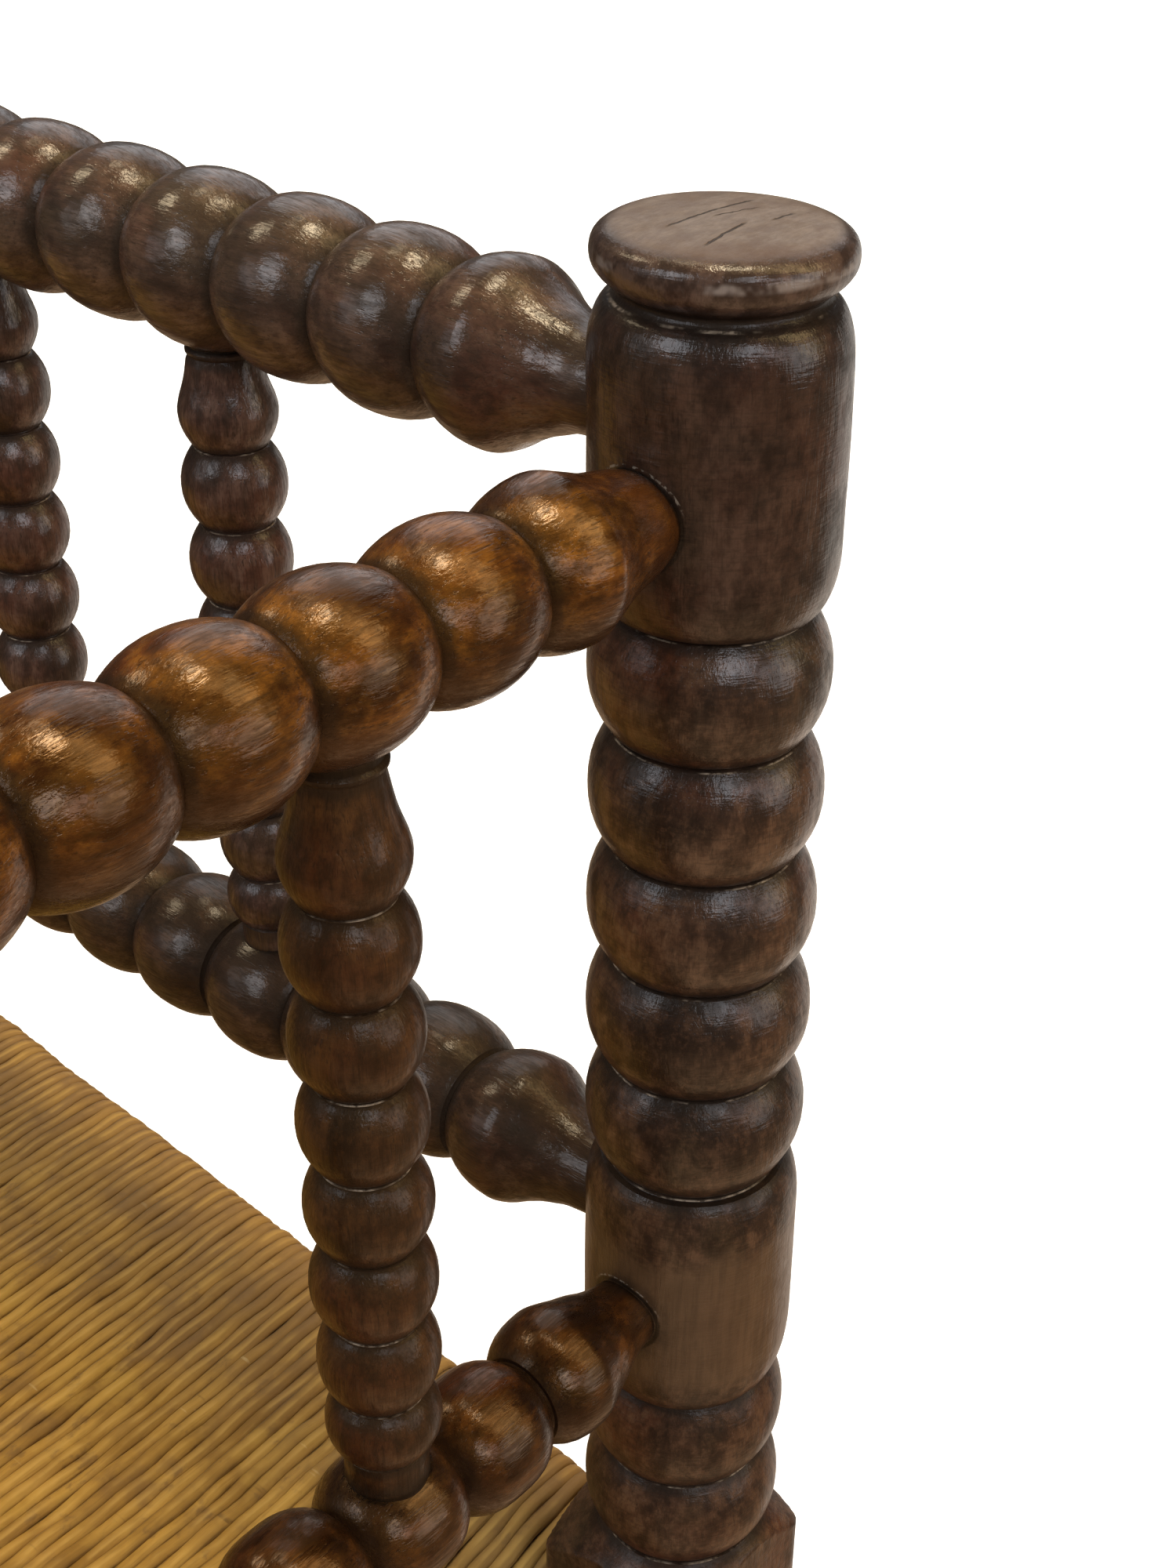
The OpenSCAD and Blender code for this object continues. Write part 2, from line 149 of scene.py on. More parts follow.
def post_rows(rng):
    R, RG, P, Q = 25.0, 19.75, 28.0, 2.28
    cap, hi, lo = 778.5, 764.3, 702.5
    mid_hi = lo - 5 * P
    mid_lo = mid_hi - 67.0
    sq_hi = mid_lo - 2 * P
    sq_lo = sq_hi - 77.0
    low_hi, low_lo = STR_Z + 25, STR_Z - 39
    leg = (sq_lo - low_hi) / 6
    rows = [[0, 0.0, 0, 0], [0, 15.8, 0, 0], [0.3, 16.7, 0, 0], [1.2, 17.9, 0, 0], [2.4, 18.5, 0, 0], [5, 18.7, 0, 0], [7.6, 18.5, 0, 0],
            [9.2, 17.9, 0.3, 0], [10.3, 16.8, 0.7, 0], [11.0, 15.4, 1, 0], [11.5, 15.0, 1, 0], [12.0, 15.7, 0.9, 0]]
    rows += bead(11.5, 44.5, R - 0.5, 15.5, 2.2, 23, low=1.0, high=0.8)
    grooves = [11.5]

    def cut(z, deep=0.8):
        rows.extend(groove(z, RG, deep))
        grooves.append(z)

    def bobbin(z, length, r):
        rows.extend(bead(z, length, r + rng.uniform(-0.12, 0.12), RG, Q, 17, low=0.9, high=0.9))

    # from the foot up to the low block
    cut(56.0)
    ft = (low_lo - 56.0) / 2
    for i in range(2):
        bobbin(56.0 + i * ft, ft, R - 0.2)
        cut(56.0 + (i + 1) * ft)
    rows += [q for q in block_rows(low_lo, low_hi, R, RG, RG, 12, 9) if low_lo + 0.7 < q[0] < low_hi - 0.7]
    for i in range(6):
        cut(low_hi + i * leg)
        bobbin(low_hi + i * leg, leg, R - 0.2)
    # square block; its outline is cut to the square in turned()
    grooves += [sq_lo, sq_hi]
    rows += [[sq_lo - 0.3, RG + 0.25, 0.8, 0.6], [sq_lo, RG - 0.4, 1, 0], [sq_lo + 0.2, RG - 0.2, 1, 0]]
    n = 26
    for i in range(n + 1):
        t = i / n
        rows.append([sq_lo + 0.35 + 13.65 * t, RG + 0.6 + (37.2 - RG - 0.6) * t, 0.5 * max(0, 1 - 4 * t), 0])
    for i in range(1, 18):
        rows.append([sq_lo + 14 + (sq_hi - sq_lo - 30) * i / 18, 40.0, 0, 0])
    for i in range(n + 1):
        t = 1 - i / n
        rows.append([sq_hi - 0.35 - 15.65 * t, RG + 1.0 + (37.2 - RG - 1.0) * t, 0.5 * max(0, 1 - 4 * t), 0.0])
    rows += [[sq_hi - 0.2, RG + 0.9, 0.7, 0.8], [sq_hi, RG - 0.5, 1, 0], [sq_hi + 0.3, RG - 0.3, 1, 0]]
    for i in range(2):
        if i:
            cut(sq_hi + P)
        bobbin(sq_hi + i * P, P, R - 0.3)
    cut(mid_lo)
    rows += [q for q in block_rows(mid_lo, mid_hi, R, RG, RG, 19, 13.6) if mid_lo + 0.7 < q[0] < mid_hi - 0.7]
    for i in range(5):
        cut(mid_hi + i * P)
        bobbin(mid_hi + i * P, P, R - 0.16)
    cut(lo, 1.0)
    rows += [q for q in block_rows(lo, hi, R, RG, R - 4.4, 13.2, 11.2, n=11) if lo + 0.7 < q[0] < hi - 0.25]
    # neck and cap
    grooves += [hi + 1.0]
    h, k = hi + 0.23, 1.008
    rows += [[h + a, b * k, c, d] for a, b, c, d in (
        (-0.25, 20.75, 0.5, 0.9), (0.1, 20.25, 0.9, 0.2), (0.6, 19.9, 1, 0), (1.1, 19.75, 1, 0), (1.6, 19.85, 0.9, 0), (2.0, 20.2, 0.55, 0),
        (2.4, 20.8, 0.25, 0), (2.9, 21.5, 0.1, 0), (3.5, 22.2, 0, 0), (4.2, 22.95, 0, 0), (5.0, 23.6, 0, 0), (5.8, 24.1, 0, 0.1), (6.6, 24.4, 0, 0.1),
        (7.4, 24.55, 0, 0), (8.2, 24.6, 0, 0), (9.0, 24.52, 0, 0), (9.8, 24.35, 0, 0), (10.5, 24.05, 0, 0), (11.1, 23.6, 0, 0), (11.6, 23.0, 0, 0),
        (12.1, 22.2, 0, 0), (12.5, 21.3, 0, 0), (12.8, 20.2, 0, 0), (13.05, 18.7, 0, 0), (13.27, 16.7, 0, 0), (13.48, 13.7, 0, 0),
        (13.66, 10.4, 0, 0), (13.8, 7.0, 0, 0), (13.9, 3.4, 0, 0))]
    rows.append([cap, 0.0, 0, 0])
    return rows, grooves, (sq_lo, sq_hi)


def rail_rows(rng, n, first, pitch, r, rg, q, rn, vase, vary=0.15):
    length = 2 * first + (n - 1) * pitch
    grooves, rows = [], [[10.0, 0.0, 0, 0], [10.0, 7.0, 0, 0], [18.6, 7.0, 0, 0], [18.6, rn, 0.3, 0]]
    y = np.linspace(24.2, first - 0.9, 22)
    half = [[a, b, max(0, 0.35 - (a - 24) / 20), 0] for a, b in zip(y, smooth_curve(y, vase))]
    rows += [[21.5, rn, 0.5, 0]] + half
    rows += bead(first - pitch / 2, pitch, r, rg, q, 19, high=0.6, half="up")
    for i in range(1, n):
        g = first + (i - 0.5) * pitch + rng.uniform(-0.25, 0.25)
        grooves.append(g)
        rows += groove(g, rg, 0.45, lip=False)
        if i < n - 1:
            rr = rng.uniform(-vary, vary)
            rows += [[w[0], w[1] + rr, w[2], w[3]] for w in bead(first + (i - 0.5) * pitch, pitch, r, rg, q, 19, low=0.8, high=0.8)]
    rows += bead(length - first - pitch / 2, pitch, r, rg, q, 19, low=0.6, half="down")
    rows += [[length - w[0], w[1], w[2], w[3]] for w in reversed(half)]
    rows += [[length - 21.5, rn, 0.5, 0], [length - 18.6, rn, 0.3, 0], [length - 18.6, 7.0, 0, 0], [length - 10, 7.0, 0, 0], [length - 10, 0.0, 0, 0]]
    return rows, grooves, length


def spindle_rows(rng, G, ring):
    """Measured up from the axis of the lower rail: 0 is that axis, G the upper one. ring is how far below the upper axis the small ring sits."""
    R, RG, P = 12.5, 8.7, 19.9
    top = G - 43.5
    low = top - 6 * P - 15.6
    grooves = []
    rows = [[7.0, 0, 0, 0], [7.0, 8.8, 0, 0], [12, 8.8, 0.1, 0], [15.5, 8.8, 0.6, 0], [17.5, 8.8, 0.4, 0], [19.5, 8.82, 0.1, 0]]
    rows += [[low - 0.35, 8.85, 0.7, 0.3], [low, 8.4, 1, 0], [low + 0.3, 8.8, 1, 0]]
    g = low
    for i in range(7):
        last = i == 0
        length = 15.6 if last else P
        if i:
            rows += [[g - 0.5, RG + 0.2, 0.5, 0.0], [g - 0.28, RG + 0.16, 0.8, 1.0], [g - 0.08, RG - 0.35, 1, 0.1], [g + 0.12, RG - 0.4, 1, 0],
                     [g + 0.4, RG + 0.1, 0.9, 0]]
        grooves.append(g)
        rows += bead(g, length, (R - 0.6 if last else R) + rng.uniform(-0.1, 0.1), RG, 2.15, 17, low=0.65, high=0.65)
        g += length
    grooves.append(top)
    rows += [[top - 0.45, RG + 0.15, 0.6, 0], [top - 0.25, RG + 0.1, 0.8, 1], [top, RG - 0.45, 1, 0.1], [top + 0.25, RG - 0.2, 1, 0]]
    z = np.linspace(-43.1, -19.4, 22)
    vase = [(-43.5, 8.9), (-42, 9.75), (-39.6, 10.9), (-37.2, 11.55), (-35, 11.7), (-32.2, 11.15), (-29.2, 10.15), (-26.4, 9.35), (-23.4, 8.75),
            (-20.9, 8.3), (-19.0, 8.0)]
    rows += [[G + a, b, 0, 0] for a, b in zip(z, smooth_curve(z, vase)) if a < -ring - 1.2]
    rows += [[G - ring - 0.8, 8.0, 0.9, 0], [G - ring - 0.4, 8.3, 0.6, 0.2], [G - ring, 8.6, 0.2, 0.5], [G - ring + 0.6, 8.65, 0.1, 0.4],
             [G - ring + 1.1, 8.3, 0.6, 0], [G - ring + 1.4, 7.9, 1, 0], [G - ring + 4, 7.9, 0.8, 0], [G - 7, 7.9, 0, 0], [G - 7, 0, 0, 0]]
    grooves.append(G - ring - 0.8)
    return rows, grooves


# ---------------------------------------------------------------- turned pieces
def turned(name, rows, grooves, place, seg, seed, tone, joints=(), square=None, amp=0.10, dents=0.6, jd_end=None):
    """A turned piece round its own Z, as a closed mesh. place is the matrix, in mm, that puts it in the row frame."""
    rng = np.random.default_rng(seed)
    rows = np.array(rows, float)
    z, r0, cut, lip = rows.T
    th = np.arange(seg) * TAU / seg
    T, Z = np.meshgrid(th, z[1:-1])
    Rr = np.repeat(r0[1:-1, None], seg, 1)
    thin = np.clip((r0[1:-1, None] - 8.0) / 6.0, 0.15, 1)
    Rr = Rr + thin * wobble(rng, T, Z, amp, [(1, 60, 0.5), (2, 90, 0.5), (3, 45, 0.35), (0, 28, 0.3), (5, 30, 0.18), (4, 18, 0.15)])
    # small dents and knocks
    k = int(dents * (z[-1] - z[0]) / 40)
    for _ in range(k):
        tz, tt = rng.uniform(z[0] + 5, z[-1] - 5), rng.uniform(0, TAU)
        sz, st, dp = rng.uniform(0.8, 2.6), rng.uniform(0.8, 2.2), rng.uniform(0.06, 0.28)
        dth = (T - tt + math.pi) % TAU - math.pi
        Rr -= thin * dp * np.exp(-((Z - tz) / sz) ** 2 - (dth * np.maximum(Rr, 1) / st) ** 2)
    if square is not None:
        lo, hi, w, ox, oy, rho = square
        a, b = np.full(T.shape, 8.0), np.full(T.shape, 45.0)
        for _ in range(18):
            m = (a + b) / 2
            ux = np.maximum(np.abs(m * np.cos(T) - ox) - (w - rho), 0)
            uy = np.maximum(np.abs(m * np.sin(T) - oy) - (w - rho), 0)
            out = np.hypot(ux, uy) > rho
            a, b = np.where(out, a, m), np.where(out, m, b)
        lim = (a + b) / 2
        inside = (Z > lo + 0.1) & (Z < hi - 0.1)
        Rr = np.where(inside, np.minimum(Rr, lim), Rr)
    X, Y = Rr * np.cos(T), Rr * np.sin(T)
    ring = np.stack([X, Y, Z], -1).reshape(-1, 3)
    n = len(z) - 2
    co = np.concatenate([ring, [[0, 0, z[0]]], [[0, 0, z[-1]]]])
    i = np.arange(n - 1)[:, None] * seg
    j = np.arange(seg)[None, :]
    jn = (j + 1) % seg
    quads = np.stack([i + j, i + jn, i + seg + jn, i + seg + j], -1).reshape(-1, 4)
    b, t = len(ring), len(ring) + 1
    jj = np.arange(seg)
    tri = np.concatenate([np.stack([(jj + 1) % seg, jj, np.full(seg, b)], -1),
                          np.stack([(n - 1) * seg + jj, (n - 1) * seg + (jj + 1) % seg, np.full(seg, t)], -1)])
    # how deep in a groove: near a cut or a joint
    gd = np.min(np.abs(co[:, 2][:, None] - np.array(list(grooves) + [1e9])[None, :]), 1)
    cav = np.maximum(np.exp(-gd / 2.0), np.concatenate([np.repeat(cut[1:-1], seg), [0, 0]]) * 0.9)
    lipv = np.concatenate([np.repeat(lip[1:-1], seg), [0, 0]])
    jd = np.full(len(co), 20.0)
    ju = np.zeros(len(co))
    for d, zj, rj in joints:
        d = np.array(d, float)
        along = co[:, 0] * d[0] + co[:, 1] * d[1]
        side = co[:, 0] * -d[1] + co[:, 1] * d[0]
        dist = np.hypot(side, co[:, 2] - zj) - rj
        near = (along > 6) & (dist < jd)
        jd = np.where(near, dist, jd)
        ju = np.where(near, np.clip((co[:, 2] - zj) / rj, -1, 1), ju)
    if jd_end is not None:
        jd = np.minimum(jd, jd_end(co))
    jd = np.clip(jd, -4, 20)
    m3 = Matrix(place)
    M = np.array(m3)
    world = co @ M[:3, :3].T + M[:3, 3]
    off = rng.uniform(-3, 3, 3)
    pith = rng.uniform(18, 45) * np.array([math.cos(rng.uniform(0, TAU)), math.sin(rng.uniform(0, TAU)), 0])
    wc = (co + pith) / 1000.0
    ob = make_mesh(name, world / 1000.0, quads, tri, sharp=32,
                   attrs={"cav": cav, "lip": lipv, "jd": jd, "ju": ju, "tone": np.full(len(co), tone), "sx": np.full(len(co), off[0]), "hz": co[:, 2] / 1000.0},
                   vecs={"wc": wc, "lc": co / 1000.0})
    return ob


def along_x(x, y, z):
    """Local Z lies along +X, local X points up."""
    return Matrix(((0, 0, 1, x), (0, 1, 0, y), (-1, 0, 0, z), (0, 0, 0, 1)))


def along_y_neg(x, y, z):
    """Local Z lies along -Y, local X points up."""
    return Matrix(((0, 1, 0, x), (0, 0, -1, y), (-1, 0, 0, z), (0, 0, 0, 1)))


def upright(x, y, z, turn=0.0):
    return Matrix.Translation((x, y, z)) @ Matrix.Rotation(turn, 4, "Z")


# ---------------------------------------------------------------- node materials
class Graph:
    def __init__(self, name):
        self.mat = bpy.data.materials.new(name)
        self.mat.use_nodes = True
        self.nt = self.mat.node_tree
        self.nt.nodes.clear()
        self.out = self.nt.nodes.new("ShaderNodeOutputMaterial")

    def add(self, kind, ins=None, **props):
        n = self.nt.nodes.new(kind)
        for k, v in props.items():
            setattr(n, k, v)
        for k, v in (ins or {}).items():
            s = n.inputs[k]
            if isinstance(v, bpy.types.NodeSocket):
                self.nt.links.new(v, s)
            else:
                s.default_value = v
        return n

    def attr(self, name, vector=False):
        n = self.add("ShaderNodeAttribute", attribute_type="GEOMETRY", attribute_name=name)
        return n.outputs["Vector" if vector else "Fac"]

    def math(self, op, a, b=0.5, c=None, clamp=False):
        ins = {0: a, 1: b}
        if c is not None:
            ins[2] = c
        return self.add("ShaderNodeMath", ins, operation=op, use_clamp=clamp).outputs[0]

    def vmath(self, op, a, b=None, scale=None):
        ins = {0: a}
        if b is not None:
            ins[1] = b
        if scale is not None:
            ins["Scale"] = scale
        n = self.add("ShaderNodeVectorMath", ins, operation=op)
        return n.outputs["Value" if op in ("LENGTH", "DOT_PRODUCT", "DISTANCE") else "Vector"]

    def noise(self, vec, scale, detail=3.0, rough=0.55, w=None, dist=0.0):
        ins = {"Vector": vec, "Scale": scale, "Detail": detail, "Roughness": rough, "Distortion": dist}
        if w is None:
            return self.add("ShaderNodeTexNoise", ins).outputs["Fac"]
        n = self.add("ShaderNodeTexNoise", {}, noise_dimensions="4D")
        ins["W"] = w
        for k, v in ins.items():
            s = n.inputs[k]
            if isinstance(v, bpy.types.NodeSocket):
                self.nt.links.new(v, s)
            else:
                s.default_value = v
        return n.outputs["Fac"]

    def ramp(self, fac, stops, mode="LINEAR"):
        n = self.add("ShaderNodeValToRGB", {"Fac": fac})
        n.color_ramp.interpolation = mode
        e = n.color_ramp.elements
        while len(e) < len(stops):
            e.new(0.5)
        for i, (p, c) in enumerate(stops):
            e[i].position = p
            e[i].color = (c, c, c, 1) if isinstance(c, (int, float)) else (*c, 1)
        return n.outputs["Color"]

    def range(self, v, a, b, c=0.0, d=1.0, smooth=True):
        n = self.add("ShaderNodeMapRange", {"Value": v, "From Min": a, "From Max": b, "To Min": c, "To Max": d},
                     interpolation_type="SMOOTHSTEP" if smooth else "LINEAR")
        return n.outputs["Result"]

    def mix(self, fac, a, b, mode="MIX"):
        n = self.add("ShaderNodeMix", {}, data_type="RGBA", blend_type=mode)
        for i, v in ((0, fac), (6, a), (7, b)):
            s = n.inputs[i]
            if isinstance(v, bpy.types.NodeSocket):
                self.nt.links.new(v, s)
            elif i == 0:
                s.default_value = v
            else:
                s.default_value = (*v, 1)
        return n.outputs[2]

    def link(self, a, b):
        self.nt.links.new(a, b)


def wood(name, dark, mid, light, warm, olive, groove_dark, tint, spec=0.4, coat=1.0, coat_rough=0.15, rough=0.5, grime_and_shade=0.35, pores=0.6, grain=1.0, fade=None, neck=0.0, cap=False,
         ior=1.5, marks=0.0, low_coat=None, fleck=0.0, underside_shade=0.0, block=None):
    g = Graph(name)
    wc, cav, lip, jd, ju, tone, sx = (g.attr("wc", True), g.attr("cav"), g.attr("lip"), g.attr("jd"), g.attr("ju"), g.attr("tone"), g.attr("sx"))
    # grain runs along the third coordinate
    bend = g.noise(g.vmath("MULTIPLY", wc, (1, 1, 0.35)), 24, 2, 0.5, w=sx)
    shift = g.add("ShaderNodeCombineXYZ", {"X": g.math("MULTIPLY", g.math("SUBTRACT", bend, 0.5), 0.007), "Y": g.math("MULTIPLY", g.math("SUBTRACT", bend, 0.5), 0.005), "Z": 0.0}).outputs[0]
    wv = g.vmath("ADD", wc, shift)

    def field(stretch, scale, detail, r, off=0.0):
        return g.noise(g.vmath("MULTIPLY", wv, (1, 1, stretch)), scale, detail, r, w=g.math("ADD", sx, off))
    streak = field(0.06, 760, 3, 0.62)
    fine = field(0.05, 2300, 2, 0.6)
    patch = field(0.6, 30, 3, 0.55, 7.3)
    patch2 = field(0.5, 38, 3, 0.6, 4.4)
    blotch = field(0.5, 95, 4, 0.62, 2.2)
    small = field(0.35, 300, 3, 0.65, 6.1)
    speck = field(0.22, 560, 3, 0.75, 3.1)
    pore = field(0.07, 2300, 2, 0.5, 5.7)
    soft = field(1.0, 240, 3, 0.6, 8.8)
    cuts = g.noise(g.vmath("MULTIPLY", wv, (0.13, 0.13, 1.0)), 1500, 2, 0.6, w=g.math("ADD", sx, 14.1))
    flat = g.vmath("MULTIPLY", wv, (1, 1, 0.0))
    ringn = field(0.2, 60, 2, 0.5, 1.1)
    ring = g.math("SINE", g.math("ADD", g.math("MULTIPLY", g.vmath("LENGTH", flat), TAU / 0.0024), g.math("MULTIPLY", ringn, 9.0)))
    ring = g.range(ring, -0.3, 1.0, 0, 1)
    # colour: stain that took unevenly, darker and lighter smudges, then the grain on top
    lift = g.math("MULTIPLY", g.math("SUBTRACT", tone, 0.5), 0.16)
    base = g.mix(g.range(g.math("ADD", blotch, lift), 0.38, 0.62), dark, mid)
    base = g.mix(g.math("MULTIPLY", g.range(patch, 0.48, 0.64), 0.65), base, warm)
    base = g.mix(g.math("MULTIPLY", g.range(patch2, 0.50, 0.66), 0.55), base, olive)
    mott = field(0.7, 210, 4, 0.68, 5.2)
    base = g.mix(g.math("MULTIPLY", g.range(mott, 0.47, 0.62), g.range(blotch, 0.40, 0.60, 0.30, 0.80)), base, light)
    base = g.mix(g.math("MULTIPLY", g.range(mott, 0.36, 0.50, 1.0, 0.0), 0.65), base, dark)
    base = g.mix(g.math("MULTIPLY", g.range(patch, 0.30, 0.46, 1.0, 0.0), 0.6), base, dark)
    if fleck:
        fk2 = field(0.85, 560, 4, 0.72, 16.3)
        base = g.mix(g.math("MULTIPLY", g.range(fk2, 0.50, 0.64), 0.60 * fleck), base, tuple(0.85 * a + 0.15 * b for a, b in zip(light, warm)))
        base = g.mix(g.math("MULTIPLY", g.range(fk2, 0.36, 0.50, 1.0, 0.0), 0.70 * fleck), base, dark)
    base = g.mix(g.math("MULTIPLY", ring, 0.20 * min(1.0, grain)), base, dark, "MULTIPLY")
    base = g.mix(g.math("MULTIPLY", g.range(streak, 0.50, 0.70), 0.40 * grain), base, tuple(0.5 * c for c in dark))
    base = g.mix(g.math("MULTIPLY", g.range(fine, 0.48, 0.68), 0.20 + 0.30 * max(0.0, grain - 0.4)), base, tuple(0.35 * c for c in dark))
    if marks:
        base = g.mix(g.math("MULTIPLY", g.range(cuts, 0.50, 0.68), 0.45 * marks), base, dark)
    base = g.mix(g.math("MULTIPLY", g.range(speck, 0.58, 0.70), 0.50), base, tuple(0.4 * c for c in dark))
    pit = g.math("MULTIPLY", g.range(pore, 0.58, 0.68), g.range(mott, 0.35, 0.55, 0.2, 1.0))
    base = g.mix(g.math("MULTIPLY", pit, pores), base, tuple(0.25 * c for c in dark))
    if fade is not None:
        hz = g.attr("hz")
        band = g.math("MULTIPLY", g.range(hz, 0.5020, 0.5110), g.range(g.math("ADD", hz, g.math("MULTIPLY", g.math("SUBTRACT", blotch, 0.5), 0.014)), 0.5425, 0.5505, 1.0, 0.0))
        rubbed = g.mix(g.range(streak, 0.40, 0.64, 0.0, 0.5), fade, tuple(0.55 * c for c in fade))
        rubbed = g.mix(g.range(blotch, 0.45, 0.65, 0.0, 0.35), rubbed, tuple(0.7 * c for c in fade))
        base = g.mix(g.math("MULTIPLY", band, 0.80), base, rubbed)
    if block is not None:
        base = g.mix(g.range(g.attr("hz"), 0.698, 0.708), base, block, "MULTIPLY")
    # painted shade: the wood is darkened by which way it faces, darkest on faces turned down and in towards the bench
    if underside_shade:
        geo = g.add("ShaderNodeNewGeometry")
        nn, pp = g.add("ShaderNodeSeparateXYZ", {0: geo.outputs["Normal"]}), g.add("ShaderNodeSeparateXYZ", {0: geo.outputs["Position"]})
        outer = g.math("MULTIPLY", nn.outputs[0], g.math("SIGN", pp.outputs[0]))
        face = g.math("ADD", g.math("MULTIPLY", nn.outputs[2], 0.75), g.math("ADD", g.math("MULTIPLY", outer, 0.42), g.math("MULTIPLY", g.math("SUBTRACT", blotch, 0.5), 0.45)))
        face = g.math("ADD", face, g.math("MULTIPLY", nn.outputs[1], 0.30))
        base = g.mix(g.math("MULTIPLY", g.range(face, -0.20, 0.50, 1.0, 0.0), underside_shade), base, (0.0120, 0.0042, 0.0018))
    # darker in the cuts and round the joints: partly old dirt and stain, partly painted shade of the recesses
    depth = g.math("ADD", cav, g.math("MULTIPLY", g.math("SUBTRACT", soft, 0.5), 0.55))
    base = g.mix(g.range(depth, 0.14, 0.62, 0.0, grime_and_shade + 0.45), base, groove_dark)
    near = g.range(g.math("ABSOLUTE", jd), 0.0, 5.0, 1.0, 0.0)
    base = g.mix(g.math("MULTIPLY", near, g.range(soft, 0.3, 0.7, 0.25, 0.75)), base, groove_dark)
    # painted shade: darker within about 17 mm of a joint, at a rail's neck by the post and round the spindles
    if neck:
        base = g.mix(g.math("MULTIPLY", g.range(g.math("ADD", jd, g.math("MULTIPLY", g.math("SUBTRACT", soft, 0.5), 10)), 3.0, 17.0, 1.0, 0.0), neck), base,
                     tuple(1.6 * c for c in dark))
    seam = g.range(g.math("ABSOLUTE", g.math("SUBTRACT", jd, 0.1)), 0.25, 0.75, 1.0, 0.0)
    base = g.mix(g.math("MULTIPLY", seam, 0.85), base, tuple(0.3 * c for c in groove_dark))
    # rubbed arrises
    wear = g.noise(wv, 95, 3, 0.7, w=g.math("ADD", sx, 1.7))
    wear2 = g.noise(wv, 700, 2, 0.6, w=g.math("ADD", sx, 2.7))
    rub = g.math("MULTIPLY", g.math("MULTIPLY", g.range(lip, 0.33, 0.83), g.range(wear, 0.45, 0.60)), g.range(wear2, 0.36, 0.56, 0.15, 1.0))
    base = g.mix(g.math("MULTIPLY", rub, 0.88), base, (0.37, 0.285, 0.200))
    ringrub = g.math("MULTIPLY", g.range(g.math("ABSOLUTE", g.math("SUBTRACT", jd, 0.95)), 0.10, 0.34, 1.0, 0.0), g.range(wear2, 0.46, 0.58))
    ringrub = g.math("MULTIPLY", ringrub, g.range(ju, 0.25, 0.75))
    base = g.mix(g.math("MULTIPLY", ringrub, 0.6), base, (0.30, 0.25, 0.19))
    if cap:
        sep = g.add("ShaderNodeSeparateXYZ", {0: g.attr("lc", True)})
        top = g.range(sep.outputs[2], 0.7762, 0.7776)
        lc = g.attr("lc", True)
        duln = g.noise(g.vmath("MULTIPLY", lc, (1, 0.30, 1)), 520, 5, 0.72, w=sx)
        dulb = g.noise(g.vmath("MULTIPLY", lc, (1, 0.7, 1)), 150, 4, 0.65, w=sx)
        # the cap's flat top: its own dull, worn grey-brown, made paler and greyer as a painted sheen
        dull_top_and_sheen = g.mix(g.range(duln, 0.28, 0.72), (0.150, 0.112, 0.090), (0.250, 0.198, 0.164))
        dull_top_and_sheen = g.mix(g.range(dulb, 0.45, 0.62, 0.0, 0.55), dull_top_and_sheen, (0.135, 0.092, 0.070))
        # painted shade: the front part of the top, where it starts to tilt down, is darkened
        edge = g.range(g.math("ADD", g.vmath("DOT_PRODUCT", lc, (0.6, -0.8, 0.0)), g.math("MULTIPLY", g.math("SUBTRACT", dulb, 0.5), 0.012)), 0.009, 0.020)
        dull_top_and_sheen = g.mix(g.math("MULTIPLY", edge, 0.7), dull_top_and_sheen, (0.125, 0.075, 0.050))
        base = g.mix(g.math("MULTIPLY", top, 0.92), base, dull_top_and_sheen)
        side = g.math("MULTIPLY", g.range(sep.outputs[2], 0.7665, 0.7690), g.math("SUBTRACT", 1.0, top))
        scuff = g.mix(g.range(mott, 0.42, 0.62), (0.030, 0.0155, 0.0105), (0.090, 0.052, 0.036))
        scuff = g.mix(g.math("MULTIPLY", g.range(g.math("ABSOLUTE", g.math("SUBTRACT", sep.outputs[2], 0.7731)), 0.0003, 0.0014, 1.0, 0.0), g.range(wear, 0.46, 0.60)), scuff,
                      (0.230, 0.185, 0.155))
        base = g.mix(g.math("MULTIPLY", side, 0.80), base, scuff)
        line = None
        jit = g.math("MULTIPLY", g.math("SUBTRACT", g.noise(lc, 520, 2, 0.5, w=sx), 0.5), 0.0011)
        for x0, y0, x1, y1, wd in ((-0.0048, -0.0118, -0.0038, 0.0141, 0.00024), (-0.0021, -0.0020, 0.0003, 0.0103, 0.00017),
                                   (0.0069, 0.0038, 0.0069, 0.0125, 0.00020), (0.0067, -0.0154, 0.0045, 0.0009, 0.00024)):
            yy = g.math("SUBTRACT", sep.outputs[1], (y0 + y1) / 2)
            xx = g.math("SUBTRACT", g.math("SUBTRACT", sep.outputs[0], (x0 + x1) / 2), g.math("MULTIPLY", yy, (x1 - x0) / (y1 - y0)))
            a = g.range(g.math("ABSOLUTE", g.math("ADD", xx, jit)), wd * 0.5, wd * 1.7, 1.0, 0.0)
            b = g.range(g.math("ABSOLUTE", yy), (y1 - y0) / 2 - 0.003, (y1 - y0) / 2, 1.0, 0.0)
            k = g.math("MULTIPLY", a, b)
            line = k if line is None else g.math("MAXIMUM", line, k)
        crack = g.math("MULTIPLY", line, top)
        base = g.mix(g.math("MULTIPLY", crack, 0.9), base, (0.012, 0.007, 0.005))
